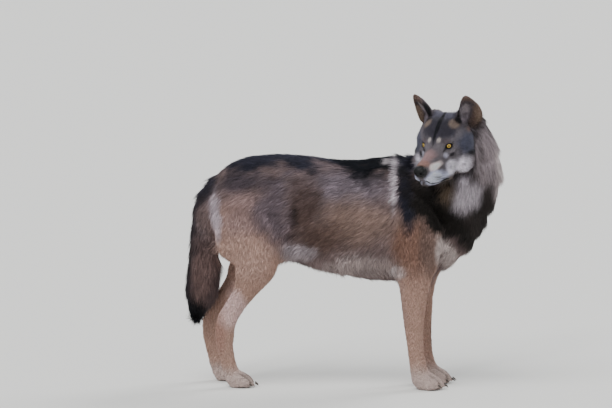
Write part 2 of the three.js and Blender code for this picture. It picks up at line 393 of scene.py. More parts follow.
# Temple, jaw, side of the neck, nape and foot of the ear, in the head's frame.
SWELLS = (
    Swell((-18, 36, -82), (44, 19, 26)),
    Swell((-66, 66, -74), (52, 36, 42)),
    Swell((-112, 76, -14), (46, 32, 62)),
    Swell((-100, 40, 40), (50, 40, 44)),
    Swell((-84, 34, 66), (15, 15, 17)),
)
# The tail's root, in the body's frame, and the tip of a toe, from the middle of its claw.
TAIL_ROOT = Swell((-378, 0, 604), (56, 38, 44))
TOE_TIP = Swell((-16, 0, -1), (16, 9, 10.5))


@dataclass(frozen=True)
class Lens:
    """Enlarges the space round a middle, so that an even remesh leaves smaller faces there."""

    centre: tuple[float, ...]
    reach: float
    factor: float
    edge: float
    shift: float = 0.0
    beyond: float = 10.0

    def move(self, points: Array, back: bool = False) -> Array:
        """Moves places through the lens.

        Args:
            points: the places.
            back: whether they come back from the enlarged space.

        Returns:
            The moved places.
        """
        plain = (0.0, self.reach, self.edge, self.edge + self.beyond)
        pushed = self.edge + self.shift
        large = (0.0, self.reach * self.factor, pushed, pushed + self.beyond)
        rays = points - np.array(self.centre)
        far = np.maximum(np.linalg.norm(rays, axis=1), 1e-9)
        wanted = np.interp(far, large, plain) if back else np.interp(far, plain, large)
        return np.array(self.centre) + rays * (wanted / far)[:, None]


# How deep the skin lies under the tips of the coat, in millimetres.
COAT_DEPTH = {
    Part.TRUNK: 14,
    Part.NECK: 17,
    Part.HEAD: 3.5,
    Part.TAIL: 20,
    Part.EAR: 0.8,
    Part.LEG: 5,
    Part.PAW: 2.5,
}


@dataclass
class Skin:
    """One skin over all the flesh, with closer faces on the head and paws."""

    head: HeadFrame
    voxel: float = 0.0112
    splits: int = 3
    overlap: float = 0.0006
    weld: float = 1e-6
    paw_evening: float = 0.2
    lid_mound: float = 0.0138
    fine_reach: float = 0.021
    lid_thickness: float = 0.0010
    slit_depth: float = 0.0034
    crease_width: float = 0.0042
    crease_depth: float = 0.011
    rump_drop: float = 0.012
    seats: list[EyeSeat] = field(init=False)
    piece: bpy.types.Object = field(init=False)
    points: Array = field(init=False)
    normals: Array = field(init=False)
    edges: Array = field(init=False)
    shares: Array = field(init=False)
    creases: Array = field(init=False)

    def build(self) -> None:
        """Makes the skin, from the joined flesh to the last fold."""
        self.seats = [EyeSeat(self.head, side) for side in SIDES]
        self.join_flesh()
        self.remesh()
        self.refine_eyes()
        self.label_parts()
        self.sink()
        self.part_toes()
        self.open_lids()
        smooth_shading(self.piece)

    def join_flesh(self) -> None:
        """Copies the nodes of flesh and the roundings between them into one mesh."""
        joined = bmesh.new()
        for node in FLESH:
            self.copy_node(node, joined)
        for side in SIDES:
            place = Matrix.Translation(Vector(middle(f"eye_{side}")))
            bmesh.ops.create_icosphere(joined, subdivisions=3, radius=self.lid_mound, matrix=place)
        turn = Matrix(self.head.axes.tolist()).to_4x4()
        for swell in SWELLS:
            for side in SIDES.values():
                swell.add(joined, self.head.outside(np.array(swell.centre) * (1, side, 1) * MM), turn)
        TAIL_ROOT.add(joined, np.array(TAIL_ROOT.centre) * MM + (0, middle("trunk")[1], 0))
        for leg in LEGS:
            for toe in TOES:
                TOE_TIP.add(joined, middle(f"claw_{leg}_{toe}") + np.array(TOE_TIP.centre) * MM)
        self.piece = new_piece("skin", bpy.data.meshes.new("skin"))
        joined.to_mesh(self.piece.data)
        joined.free()
        finish_modifier(self.piece, "SUBSURF", subdivision_type="SIMPLE", levels=self.splits)

    def copy_node(self, node: str, joined: bmesh.types.BMesh) -> None:
        """Copies one node, a little swollen so that neighbours meet.

        Args:
            node: the node.
            joined: the shape that takes the copy.
        """
        part = bmesh.new()
        part.from_mesh(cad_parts[node].data)
        bmesh.ops.remove_doubles(part, verts=part.verts, dist=self.weld)
        part.normal_update()
        for vert in part.verts:
            vert.co += vert.normal * self.overlap
        copied = {vert: joined.verts.new(vert.co) for vert in part.verts}
        for face in part.faces:
            joined.faces.new([copied[vert] for vert in face.verts])
        part.free()

    def lenses(self) -> list[Lens]:
        """Gives the lenses over the head and the four paws."""
        head = Lens(tuple(self.head.outside((-0.02, 0.0, 0.01))), 0.165, 4.0, 0.2, 0.495)
        return [head] + [Lens(tuple(middle(paw) + (0.022, 0, -0.012)), 0.05, 4.0, 0.3) for paw in PAWS]

    def remesh(self) -> None:
        """Turns the joined solids into one even surface and takes off their facets."""
        points = coordinates(self.piece.data)
        for lens in self.lenses():
            points = lens.move(points)
        set_coordinates(self.piece.data, points)
        finish_modifier(self.piece, "REMESH", mode="VOXEL", voxel_size=self.voxel)
        points = coordinates(self.piece.data)
        for lens in reversed(self.lenses()):
            points = lens.move(points, back=True)
        set_coordinates(self.piece.data, points)
        self.keep_largest()
        self.even(14)

    def even(self, times: int) -> None:
        """Takes the facets off the skin, less on the paws, whose toes stay parted.

        Args:
            times: how many rounds it takes.
        """
        group = self.piece.vertex_groups.new(name="even")
        above_paws = smooth(0.05, 0.08, coordinates(self.piece.data)[:, 2])
        shares = np.round(self.paw_evening + (1 - self.paw_evening) * above_paws, 1)
        for share in np.unique(shares):
            group.add(np.flatnonzero(shares == share).tolist(), float(share), "REPLACE")
        finish_modifier(self.piece, "SMOOTH", factor=0.5, iterations=times, vertex_group=group.name)
        self.piece.vertex_groups.clear()

    def keep_largest(self) -> None:
        """Deletes what isn't joined to the outer surface, such as walls of closed gaps inside."""
        shape = bmesh.new()
        shape.from_mesh(self.piece.data)
        left = set(shape.verts)
        islands = []
        while left:
            stack = [left.pop()]
            island = []
            while stack:
                vert = stack.pop()
                island.append(vert)
                others = {edge.other_vert(vert) for edge in vert.link_edges} & left
                left -= others
                stack.extend(others)
            islands.append(island)
        islands.sort(key=len)
        for island in islands[:-1]:
            bmesh.ops.delete(shape, geom=island, context="VERTS")
        shape.to_mesh(self.piece.data)
        shape.free()

    def refine_eyes(self) -> None:
        """Makes the faces about the eyes small enough for lids."""
        shape = bmesh.new()
        shape.from_mesh(self.piece.data)
        near = set()
        for face in shape.faces:
            spot = face.calc_center_median()
            if any((spot - Vector(seat.middle)).length < self.fine_reach for seat in self.seats):
                near.update(face.edges)
        bmesh.ops.subdivide_edges(shape, edges=list(near), cuts=3, use_grid_fill=True)
        shape.to_mesh(self.piece.data)
        shape.free()

    def measure(self) -> None:
        """Reads the mesh's arrays again after a change."""
        mesh = self.piece.data
        self.points = coordinates(mesh)
        self.normals = normals_of(mesh)
        self.edges = read(mesh.edges, "vertices", 2, np.int32)

    def label_parts(self) -> None:
        """Finds how much each point belongs to each part of the body."""
        self.measure()
        corners, faces, owners = [], [], []
        for node in FLESH:
            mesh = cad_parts[node].data
            start = len(corners)
            corners.extend(vert.co.copy() for vert in mesh.vertices)
            faces.extend([start + i for i in face.vertices] for face in mesh.polygons)
            owners.extend([Part[node.split("_")[0].upper()].value] * len(mesh.polygons))
        tree = BVHTree.FromPolygons(corners, faces)
        nearest = np.array([owners[tree.find_nearest(Vector(point))[2]] for point in self.points])
        self.shares = diffuse(np.eye(len(Part))[nearest], self.edges, 12)

    def sink(self) -> None:
        """Draws the skin in by the coat's depth, and slopes the top of the rump down to the tail."""
        x, z = self.points[:, 0], self.points[:, 2]
        top = smooth(0.52, 0.60, z) * smooth(0.0, 0.5, self.normals[:, 2])
        rounded = diffuse(self.points, self.edges, 40) - self.points
        self.points += (smooth(-0.24, -0.34, x) * top)[:, None] * rounded
        drop = self.rump_drop * smooth(-0.28, -0.42, x) * top
        depths = self.shares @ (np.array([COAT_DEPTH[part] for part in Part]) * MM) + drop
        depths = diffuse(depths, self.edges, 6)
        set_coordinates(self.piece.data, self.points - self.normals * depths[:, None])
        self.even(4)
        self.measure()

    def part_toes(self) -> None:
        """Presses the creases between the toes, each halfway between two claws."""
        x, y, z = self.points.T
        self.creases = np.zeros(len(x))
        low = smooth(0.06, 0.045, z)
        for leg in LEGS:
            claws = [middle(f"claw_{leg}_{toe}") for toe in TOES]
            for near, far in zip(claws, claws[1:]):
                tip = max(near[0], far[0])
                groove = np.exp(-(((y - (near[1] + far[1]) / 2) / self.crease_width) ** 2))
                groove *= smooth(tip - 0.062, tip - 0.034, x) * smooth(tip + 0.02, tip + 0.01, x)
                self.creases = np.maximum(self.creases, groove * low)
        pressed = self.points - self.normals * (self.creases * self.crease_depth)[:, None]
        set_coordinates(self.piece.data, pressed)
        self.measure()

    def open_lids(self) -> None:
        """Draws the skin over each eyeball as two lids, and leaves the opening between them."""
        for seat in self.seats:
            rays = self.points - seat.middle
            far = np.linalg.norm(rays, axis=1)
            gap = seat.openness(self.points)
            wanted = seat.radius + self.lid_thickness - self.slit_depth * smooth(1.0, 0.88, gap)
            hold = smooth(2.4, 1.35, gap) * smooth(0.030, 0.021, far)
            moved = far * (1 - hold) + wanted * hold
            self.points = seat.middle + rays / np.maximum(far, 1e-6)[:, None] * moved[:, None]
        set_coordinates(self.piece.data, self.points)
        self.measure()

    def lid_margin(self, points: Array) -> Array:
        """Gives how many degrees each place is outside the nearer eye's opening."""
        return np.minimum(*[seat.margin(points) for seat in self.seats])

    def surface(self) -> BVHTree:
        """Gives the skin as a tree to look up its nearest place in."""
        mesh = self.piece.data
        faces = [list(face.vertices) for face in mesh.polygons]
        return BVHTree.FromPolygons([vert.co for vert in mesh.vertices], faces)


@dataclass(frozen=True)
class Zone:
    """A patch of colour with a soft edge, alike on both sides of the body.

    Its middle and half sizes are in millimetres: forward, sideways and up, in the body's or the head's frame.
    It leans by an angle and fades over a share of its size. A zone of the body stays off the head, and one
    that names a part stays on that part.
    """

    hue: str
    centre: tuple[float, float, float]
    reach: tuple[float, float, float]
    strength: float = 1.0
    lean_deg: float = 0.0
    soft: float = 0.35
    on: Part | None = None


BODY_ZONES = (
    # flank and ribs
    Zone("#6f676c", (10, 130, 600), (150, 200, 55), 0.8, 0, 0.6),
    Zone("#7e6a5e", (50, 130, 500), (120, 200, 60), 0.9, -8, 0.6),
    Zone("#514037", (-60, 130, 455), (75, 200, 60), 0.85, -20, 0.6),
    Zone("#4b3c36", (-105, 130, 560), (50, 200, 80), 0.85, 0, 0.5),
    Zone("#8d8484", (-125, 110, 405), (55, 200, 26), 0.9, -8, 0.5),
    Zone("#938781", (60, 100, 365), (120, 160, 36), 0.85, 0, 0.5),
    Zone("#d2cbc7", (168, 110, 352), (22, 90, 18), 0.95, 0, 0.5),
    # thigh, rump and hind leg
    Zone("#836e68", (-290, 130, 520), (75, 200, 80), 0.9, 0, 0.6),
    Zone("#5f5559", (-205, 130, 520), (45, 200, 90), 0.85, 8, 0.6),
    Zone("#9c8274", (-282, 130, 390), (80, 200, 62), 0.95, -12, 0.5),
    Zone("#a79c9f", (-374, 100, 525), (18, 120, 80), 0.95, 4, 0.5),
    Zone("#39343a", (-285, 130, 612), (90, 200, 30), 0.85, 6, 0.6),
    # shoulder, upper arm and chest
    Zone("#2b2422", (235, 130, 560), (55, 200, 90), 0.9, 0, 0.5),
    Zone("#715648", (208, 120, 425), (60, 120, 75), 0.95, 0, 0.5),
    Zone("#5a4a42", (262, 120, 420), (28, 120, 80), 0.8, 0, 0.5),
    Zone("#a1968f", (307, 90, 410), (30, 130, 50), 0.95, 12),
    # the saddle
    Zone("#22222b", (-270, 0, 712), (185, 120, 78), 1.0, 5, 0.3),
    Zone("#25252e", (-60, 0, 712), (240, 125, 72), 1.0, 0, 0.4),
    Zone("#07090f", (100, 0, 700), (122, 160, 98), 1.0, 0, 0.3),
    Zone("#26242b", (-410, 0, 620), (50, 90, 90), 0.95),
    # A dark vertical stripe in front of the thigh: painted shade of the fold there.
    Zone("#2a2220", (-136, 160, 540), (9, 80, 85), 0.8, 3),
    # the shoulder's stripes
    Zone("#1c1c25", (196, 140, 590), (28, 200, 112), 1.0, 4),
    Zone("#b2aaab", (158, 130, 618), (10, 200, 82), 0.95, 0, 0.45),
    Zone("#aaa3a1", (132, 70, 674), (12, 60, 9), 0.9),
    Zone("#aaa3a1", (103, 40, 690), (8, 50, 8), 0.8),
    # neck
    Zone("#3c383b", (330, 0, 720), (90, 200, 90), 0.9),
    Zone("#15120f", (290, 120, 525), (150, 200, 40), 1.0, -44),
    Zone("#241f1c", (425, 0, 530), (60, 130, 80), 0.9),
    Zone("#8c8282", (446, 40, 690), (50, 300, 86), 0.95, 0, 0.5),
    Zone("#4f4335", (322, 75, 588), (34, 60, 30), 0.9, 0, 0.5),
    Zone("#a49da0", (368, 75, 583), (40, 60, 46), 0.95, 20, 0.5),
    # A pale band along the front edge of the neck: painted back light.
    Zone("#b5aaa5", (482, 40, 690), (26, 200, 110), 0.95, -6, 0.5),
    # tail
    Zone("#6a5751", (-418, 30, 330), (42, 120, 110), 0.9, 0, 0.5, Part.TAIL),
    Zone("#121118", (-474, 0, 430), (28, 70, 230), 0.9, 3, 0.35, Part.TAIL),
    Zone("#08080c", (-447, 0, 200), (60, 90, 56), 1.0, 0, 0.35, Part.TAIL),
    # legs
    Zone("#8a7369", (170, 70, 220), (26, 120, 130), 0.6),
    Zone("#5d4a40", (262, 65, 140), (10, 10, 45), 0.6),
    Zone("#8b6c5f", (-360, 110, 165), (22, 120, 60), 0.7),
    Zone("#b49c95", (-318, 110, 235), (40, 120, 60), 0.9, 0, 0.5),
)
HEAD_ZONES = (
    # forehead, crown and temple
    Zone("#2a282f", (-36, 0, 48), (66, 56, 42), 0.95),
    Zone("#464550", (-84, 14, 78), (26, 36, 16), 0.9, 0, 0.5),
    Zone("#7b6457", (-70, 72, 32), (15, 14, 10), 0.9, 0, 0.5),
    Zone("#41434f", (-44, 80, 4), (50, 34, 32), 0.95, 0, 0.5),
    Zone("#76685b", (-44, 44, 56), (17, 13, 14), 0.85, 0, 0.5),
    Zone("#0b0b10", (-36, 0, 56), (62, 5, 60), 1.0),
    Zone("#0b0b10", (-98, 88, 12), (20, 26, 17), 1.0),
    Zone("#0b0b10", (-64, 94, -34), (36, 30, 12), 1.0),
    # cheek
    Zone("#c0bbbf", (-18, 70, -65), (38, 30, 26), 0.95, 0, 0.5),
    Zone("#c8c4c9", (4, 44, -58), (24, 18, 20), 0.95),
    Zone("#5f5655", (-64, 96, -66), (26, 30, 30), 0.9, 0, 0.5),
    Zone("#4a4546", (-96, 96, -46), (15, 30, 50), 0.8, 0, 0.5),
    # Olive brown along the bottom of the cheek and jaw: painted shade under the head.
    Zone("#5a4c3c", (-28, 66, -106), (58, 60, 18), 0.95, 0, 0.5),
    # about the eye
    Zone("#989189", (12, 15, 20), (8, 5.5, 7), 0.95, 0, 0.45),
    Zone("#4b4244", (0, 32, 14), (16, 12, 8), 0.8),
    Zone("#98969f", (17, 36, -24), (11, 9, 11), 0.95),
    Zone("#151316", (4, 50, -24), (12, 8, 4.5), 0.9, -30),
    Zone("#0d0b0d", (12, 31, -8), (13, 6, 4), 1.0, -21, 0.5),
    # muzzle
    Zone("#947a76", (60, 0, -20), (50, 20, 14), 0.95, 0, 0.5),
    Zone("#8f6c5c", (98, 0, -30), (16, 18, 10), 0.6),
    Zone("#ecdad1", (62, 27, -42), (34, 13, 13), 1.0),
    Zone("#c2c6d8", (74, 26, -76), (54, 22, 23), 1.0),
    # Dark brown on the chin and lower jaw under the lip line: painted shade below the upper lip.
    Zone("#2b2623", (100, 0, -103), (36, 26, 10), 0.95),
    Zone("#3c342c", (40, 0, -114), (62, 44, 10), 0.9),
    # ears
    Zone("#3e383a", (-78, 66, 100), (26, 30, 60), 0.95),
    Zone("#67574a", (-96, 96, 92), (14, 13, 56), 0.95, 0, 0.5),
    Zone("#0d0b0d", (-60, 50, 92), (12, 12, 46), 1.0, 0, 0.3),
    Zone("#7d7478", (-74, 68, 86), (16, 12, 34), 0.55, 0, 0.5),
)


@dataclass
class Markings:
    """The colours of the coat and of the skin below it, from named zones over each part's ground colour."""

    head: HeadFrame
    skin: Skin
    ground: dict[Part, str] = field(default_factory=lambda: {
        Part.TRUNK: "#6a5b57",
        Part.NECK: "#2f2927",
        Part.HEAD: "#5f5a5b",
        Part.TAIL: "#2f292c",
        Part.EAR: "#54443c",
        Part.LEG: "#967b6c",
        Part.PAW: "#a09087",
    })
    lid_rim: str = "#0a0809"
    midline: float = field(init=False)

    def __post_init__(self) -> None:
        """Finds the plane that the markings mirror in."""
        self.midline = float(middle("trunk")[1])

    def paint(self, points: Array, shares: Array) -> Array:
        """Gives each place its colour.

        Args:
            points: n places, in the model's frame.
            shares: how much each belongs to each part.

        Returns:
            n linear colours.
        """
        colours = unit_sum(shares) @ np.array([linear(self.ground[part]) for part in Part])
        wander = waves(points, 0.045, 5) * 0.16 + waves(points, 0.018, 6) * 0.08
        head_share = shares[:, Part.HEAD.value] + shares[:, Part.EAR.value]
        on_head = smooth(0.3, 0.7, head_share)
        body = (points - (0, self.midline, 0)) / MM
        for zone in BODY_ZONES:
            held = smooth(0.2, 0.5, shares[:, zone.on.value]) if zone.on else 1 - on_head
            self.lay(colours, zone, body, wander, held)
        local = self.head.inside(points) / MM
        for zone in HEAD_ZONES:
            self.lay(colours, zone, local, wander, on_head)
        rim = smooth(20, 12, self.skin.lid_margin(points))
        colours += rim[:, None] * (linear(self.lid_rim) - colours)
        return colours

    @staticmethod
    def lay(colours: Array, zone: Zone, places: Array, wander: Array, held: Array) -> None:
        """Lays one zone over the colours.

        Args:
            colours: the colours so far, which change.
            zone: the zone.
            places: the places in millimetres, in the zone's frame.
            wander: an uneven edge's part of the distance.
            held: where the zone may show, from 0 to 1.
        """
        lean = math.radians(zone.lean_deg)
        off = places - np.array([zone.centre[0], 0, zone.centre[2]])
        off[:, 1] = np.abs(places[:, 1]) - zone.centre[1]
        turned = np.stack([
            off[:, 0] * math.cos(lean) + off[:, 2] * math.sin(lean),
            off[:, 1],
            off[:, 2] * math.cos(lean) - off[:, 0] * math.sin(lean),
        ], axis=1)
        far = np.linalg.norm(turned / np.array(zone.reach), axis=1) + wander
        weight = smooth(1 + zone.soft, 1 - zone.soft, far) * zone.strength * held
        colours += weight[:, None] * (linear(zone.hue) - colours)


# ---- the coat ----
@dataclass
class Lie:
    """Which way the hair lies at each point of the skin."""

    skin: Skin
    nose_tip: tuple[float, float, float] = (0.17, 0.0, -0.05)
    about_eyes: float = 1.6

    def directions(self) -> Array:
        """Mixes the parts' own lies where they meet, and parts the hair round the eyes.

        Returns:
            The hair's direction at each point of the skin, along the surface, at length 1.
        """
        skin = self.skin
        lies = np.zeros((len(Part), len(skin.points), 3))
        lies[Part.TRUNK.value] = self.on_trunk()
        lies[Part.NECK.value] = self.on_neck()
        lies[Part.HEAD.value] = self.on_head()
        lies[Part.TAIL.value] = self.on_tail()
        lies[Part.EAR.value] = np.array([0.15, 0.0, 1.0]) @ skin.head.axes.T
        lies[Part.LEG.value] = (-0.2, 0, -1)
        lies[Part.PAW.value] = (0.8, 0, -0.5)
        sway = np.array([0.5 if part is Part.EAR else 1.0 for part in Part])
        mixed = np.einsum("np,p,pnd->nd", skin.shares, sway, np.array([unit(lie) for lie in lies]))
        flow = across(mixed, skin.normals)
        for _ in range(3):
            flow = across(diffuse(flow, skin.edges, 4), skin.normals)
        near = smooth(40, 10, skin.lid_margin(skin.points))
        eyes = np.array([seat.middle for seat in skin.seats])
        nearer = np.argmin(np.linalg.norm(skin.points[:, None] - eyes[None], axis=2), axis=1)
        clear = across(skin.points - eyes[nearer], skin.normals)
        return across(flow + clear * near[:, None] * self.about_eyes, skin.normals)

    def on_trunk(self) -> Array:
        """Gives the trunk's lie: back along the spine, and down on shoulder, haunch, belly and rump.

        Returns:
            A heading for each point of the skin.
        """
        x, z = self.skin.points[:, 0], self.skin.points[:, 2]
        lie = np.zeros((len(x), 3))
        lie[:, 0] = -1
        lie[:, 2] = -0.15 - 0.45 * np.abs(self.skin.normals[:, 1])
        shoulder = smooth(0.08, 0.24, x) * smooth(0.66, 0.5, z)
        haunch = smooth(-0.12, -0.28, x) * smooth(0.62, 0.5, z)
        belly = smooth(0.46, 0.36, z) * smooth(-0.2, -0.1, x) * smooth(0.24, 0.16, x)
        rump = smooth(-0.30, -0.39, x)
        for weight, ahead in ((shoulder, -0.45), (haunch, -0.55), (belly, 0.35), (rump, -0.6)):
            lie += weight[:, None] * (np.array((ahead, 0, -1)) - lie)
        return lie

    def on_neck(self) -> Array:
        """Gives the neck's lie: away from the head and down, as a ruff falls.

        Returns:
            A heading for each point of the skin.
        """
        away = self.skin.points - self.skin.head.outside((-0.05, 0, 0))
        away[:, 2] = np.minimum(away[:, 2], 0)
        away = unit(away)
        top = smooth(0.5, 0.95, self.skin.normals[:, 2])[:, None]
        return (0.35 + 0.5 * top) * away + np.array([-0.3, 0, -1.0])

    def on_head(self) -> Array:
        """Gives the head's lie: back from the nose, and down on the cheeks.

        Returns:
            A heading for each point of the skin.
        """
        local = self.skin.head.inside(self.skin.points)
        from_nose = local - np.array(self.nose_tip)
        from_nose[:, 2] -= 0.06 * smooth(0.02, -0.08, local[:, 0])
        return unit(from_nose) @ self.skin.head.axes.T

    def on_tail(self) -> Array:
        """Gives the tail's lie: back at its root, then down.

        Returns:
            A heading for each point of the skin.
        """
        lie = np.zeros((len(self.skin.points), 3))
        lie[:, 0] = -0.08 - 0.8 * smooth(0.5, 0.62, self.skin.points[:, 2])
        lie[:, 2] = -1
        return lie


def curvature(skin: Skin, flow: Array) -> Array:
    """Measures how sharply the skin bends away from the hair along its lie.

    Args:
        skin: the skin.
        flow: the hair's direction at each of its points.

    Returns:
        One curvature for each point, per metre.
    """
    normals = unit(diffuse(skin.normals, skin.edges, 8))
    top, bottom = np.zeros(len(flow)), np.full(len(flow), 1e-12)
    for start, end in (skin.edges.T, skin.edges.T[::-1]):
        along = np.sum((skin.points[end] - skin.points[start]) * flow[start], axis=1)
        turn = np.sum((normals[end] - normals[start]) * flow[start], axis=1)
        top += np.bincount(start, along * turn, len(flow))
        bottom += np.bincount(start, along * along, len(flow))
    return np.clip(diffuse(np.clip(top / bottom, -60, 90), skin.edges, 10), -12, 32)


def unroll(points: Array, axis: int, bands: int = 12) -> Array:
    """Unrolls places round the line through their middles, to a map from 0 to 1.

    Args:
        points: n places on the skin of one limb or of the body.
        axis: which way its length runs, 0 for x and 2 for z.
        bands: how many middles are taken along it.

    Returns:
        n rows of u, round it, and v, along it.
    """
    low, high = points[:, axis].min(), points[:, axis].max()
    share = (points[:, axis] - low) / max(high - low, 1e-6)
    band = np.minimum((share * bands).astype(int), bands - 1)
    counts = np.maximum(np.bincount(band, minlength=bands), 1)
    turned = []
    for values in np.delete(points, axis, axis=1).T:
        middles = np.bincount(band, values, bands) / counts
        turned.append(values - np.interp(share * bands - 0.5, np.arange(bands), middles))
    return np.stack([np.arctan2(turned[0], turned[1]) / (2 * np.pi) + 0.5, share], axis=1)


@dataclass(frozen=True)
class Hair:
    """The usual tuft of a part: sizes in millimetres, its rise from the skin in degrees."""

    length: float
    width: float
    rise: float
    spacing: float
    clump: float


HAIR = {
    Part.TRUNK: Hair(42, 1.9, 14, 2.35, 16),
    Part.NECK: Hair(48, 1.9, 14, 2.2, 20),
    Part.HEAD: Hair(15, 1.05, 14, 1.3, 8),
    Part.TAIL: Hair(52, 2.2, 15, 2.3, 20),
    Part.EAR: Hair(9, 1.2, 12, 1.8, 6),
    Part.LEG: Hair(17, 1.8, 11, 2.8, 10),
    Part.PAW: Hair(8, 1.2, 12, 2.05, 6),
}


@dataclass
class Plot:
    """The places of one piece's tufts, with a row for each in every array."""

    roots: Array
    normals: Array
    flow: Array
    shares: Array
    bends: Array
    creases: Array


@dataclass
class Coat:
    """The coat: closed three-sided tufts that follow the lie of the hair, in pieces by part of the body."""

    skin: Skin
    flow: Array
    markings: Markings
    seed: int = 20
    gain: tuple[float, float, float] = (1.58, 1.55, 1.66)
    waist: float = -0.1
    clear_of_lids: float = 6.5
    lock_pull: float = 0.45
    ear_tuft: str = "#b9b0a8"
    bends: Array = field(init=False)

    def __post_init__(self) -> None:
        """Measures how the skin bends along the hair."""
        self.bends = curvature(self.skin, self.flow)

    def build(self) -> list[bpy.types.Object]:
        """Makes each part's piece of coat.

        Returns:
            The pieces.
        """
        mesh = self.skin.piece.data
        mesh.calc_loop_triangles()
        corners = read(mesh.loop_triangles, "vertices", 3, np.int32)
        first = corners[:, 0]
        owner = self.skin.shares.argmax(axis=1)[first]
        clear = self.skin.lid_margin(self.skin.points)[first] > self.clear_of_lids
        pieces = []
        for name, part, where, slot in self.pieces():
            chosen = (owner == part.value) & where(self.skin.points[first]) & clear
            piece = self.cover(name, corners[chosen], part)
            pieces.append(piece)
        return pieces

    def pieces(self) -> list[tuple[str, Part, Callable[[Array], Array], str]]:
        """Lists the coat's pieces.

        Returns:
            Each piece's name, its part, which of some places it covers, and the name of a slot, which nothing
            uses.
        """
        half = middle("trunk")[1]

        def fore(at: Array) -> Array:
            """Tells which places are ahead of the waist."""
            return at[:, 0] > self.waist

        def hind(at: Array) -> Array:
            """Tells which places are behind the waist."""
            return at[:, 0] <= self.waist

        def left_of_head(at: Array) -> Array:
            """Tells which places are on the left of the head."""
            return self.skin.head.inside(at)[:, 1] > 0

        def whole(at: Array) -> Array:
            """Takes every place."""
            return np.ones(len(at), bool)

        return [
            ("coat_trunk_front_right", Part.TRUNK, lambda at: fore(at) & (at[:, 1] < half), "coat_grey"),
            ("coat_trunk_front_left", Part.TRUNK, lambda at: fore(at) & (at[:, 1] >= half), "coat_grey"),
            ("coat_trunk_hind_right", Part.TRUNK, lambda at: hind(at) & (at[:, 1] < half), "coat_grey"),
            ("coat_trunk_hind_left", Part.TRUNK, lambda at: hind(at) & (at[:, 1] >= half), "coat_grey"),
            ("coat_neck_right", Part.NECK, lambda at: at[:, 1] < 0, "coat_grey"),
            ("coat_neck_left", Part.NECK, lambda at: at[:, 1] >= 0, "coat_grey"),
            ("coat_head_right", Part.HEAD, lambda at: ~left_of_head(at), "coat_face"),
            ("coat_head_left", Part.HEAD, left_of_head, "coat_face"),
            ("coat_tail", Part.TAIL, whole, "coat_tail"),
            ("coat_ears", Part.EAR, whole, "ear"),
            ("coat_legs_front", Part.LEG, fore, "coat_leg"),
            ("coat_legs_hind", Part.LEG, hind, "coat_leg"),
            ("coat_paws", Part.PAW, whole, "coat_leg"),
        ]

    def chart(self, roots: Array, part: Part) -> Array:
        """Finds each root's place on the unrolled skin of its part, with a strip for each limb.

        Args:
            roots: n roots.
            part: the part of the body.

        Returns:
            n places on a map from 0 to 1.
        """
        if part in (Part.TRUNK, Part.NECK, Part.TAIL):
            chart = unroll(roots, 0 if part is Part.TRUNK else 2)
        elif part is Part.HEAD:
            chart = unroll(self.skin.head.inside(roots), 0)
        else:
            off = self.skin.head.inside(roots)[:, 1] if part is Part.EAR else roots[:, 1] - middle("trunk")[1]
            limb = (off > 0).astype(int) + (2 * (roots[:, 0] > self.waist) if part is Part.PAW else 0)
            strips = int(limb.max()) + 1
            chart = np.zeros((len(roots), 2))
            for strip in range(strips):
                here = limb == strip
                chart[here] = unroll(roots[here], 2)
                chart[here, 0] = (chart[here, 0] + strip) / strips
        return 0.005 + 0.99 * chart

    def plant(self, corners: Array, rng: np.random.Generator) -> Plot:
        """Scatters roots over some of the skin's triangles, closer together about the eyes.

        Args:
            corners: the triangles, as rows of three point numbers.
            rng: the source of chance.

        Returns:
            The roots and what the skin is like at each.
        """
        skin = self.skin
        spots = skin.points[corners]
        areas = np.linalg.norm(np.cross(spots[:, 1] - spots[:, 0], spots[:, 2] - spots[:, 0]), axis=1) / 2
        usual = np.array([float(HAIR[part].spacing) for part in Part])
        spacing = skin.shares[corners].mean(axis=1) @ usual * MM
        thick = 1 + 1.6 * smooth(40, 15, skin.lid_margin(spots.mean(axis=1)))
        counts = np.floor(areas * thick / spacing**2 + rng.random(len(areas))).astype(int)
        trio = corners[np.repeat(np.arange(len(corners)), counts)]
        mix = rng.dirichlet((1, 1, 1), len(trio))
        values = (skin.points, skin.normals, self.flow, skin.shares, self.bends, skin.creases)
        plot = Plot(*(np.einsum("nk,nk...->n...", mix, value[trio]) for value in values))
        plot.normals = unit(plot.normals)
        return plot

    def cover(self, name: str, corners: Array, part: Part) -> bpy.types.Object:
        """Covers some of the skin's triangles with tufts.

        Args:
            name: the piece's name.
            corners: the triangles, as rows of three point numbers.
            part: the part of the body.

        Returns:
            The piece.
        """
        self.seed += 1
        rng = np.random.default_rng(self.seed)
        plot = self.plant(corners, rng)
        count = len(plot.roots)
        table = np.array([[getattr(HAIR[kind], size.name) for kind in Part] for size in fields(Hair)])
        length, width, rise, _, clump = (plot.shares @ table.T).T
        share = self.length_share(plot.roots, plot.shares) * (1 - 0.45 * plot.creases)
        length, width = length * share * MM, width * np.clip(share, 0.25, 1.6) ** 0.5 * MM
        length *= rng.uniform(0.7, 1.2, count)
        width *= rng.uniform(0.7, 1.2, count)
        swing = rng.normal(0, 0.14, count) + waves(plot.roots, 0.03, 3) * 0.12
        plot.flow = unit(plot.flow + unit(np.cross(plot.flow, plot.normals)) * swing[:, None])
        rise = np.radians(rise * rng.uniform(0.55, 1.45, count) * np.clip(1.9 - share, 1, 1.7))
        lock, pull = self.gather(plot.roots, clump.mean() * MM, rng)
        for direction in (plot.normals, plot.flow):
            pull = pull - np.sum(pull * direction, axis=1, keepdims=True) * direction
        colours = self.dye(plot, length, lock, rng)
        strands = Strands(
            plot.roots, plot.flow, unit(np.cross(plot.flow, plot.normals)), plot.normals, length, width, rise,
            plot.bends, pull * self.lock_pull, *colours, self.chart(plot.roots, part),
        )
        return strands.mesh(name, 1)

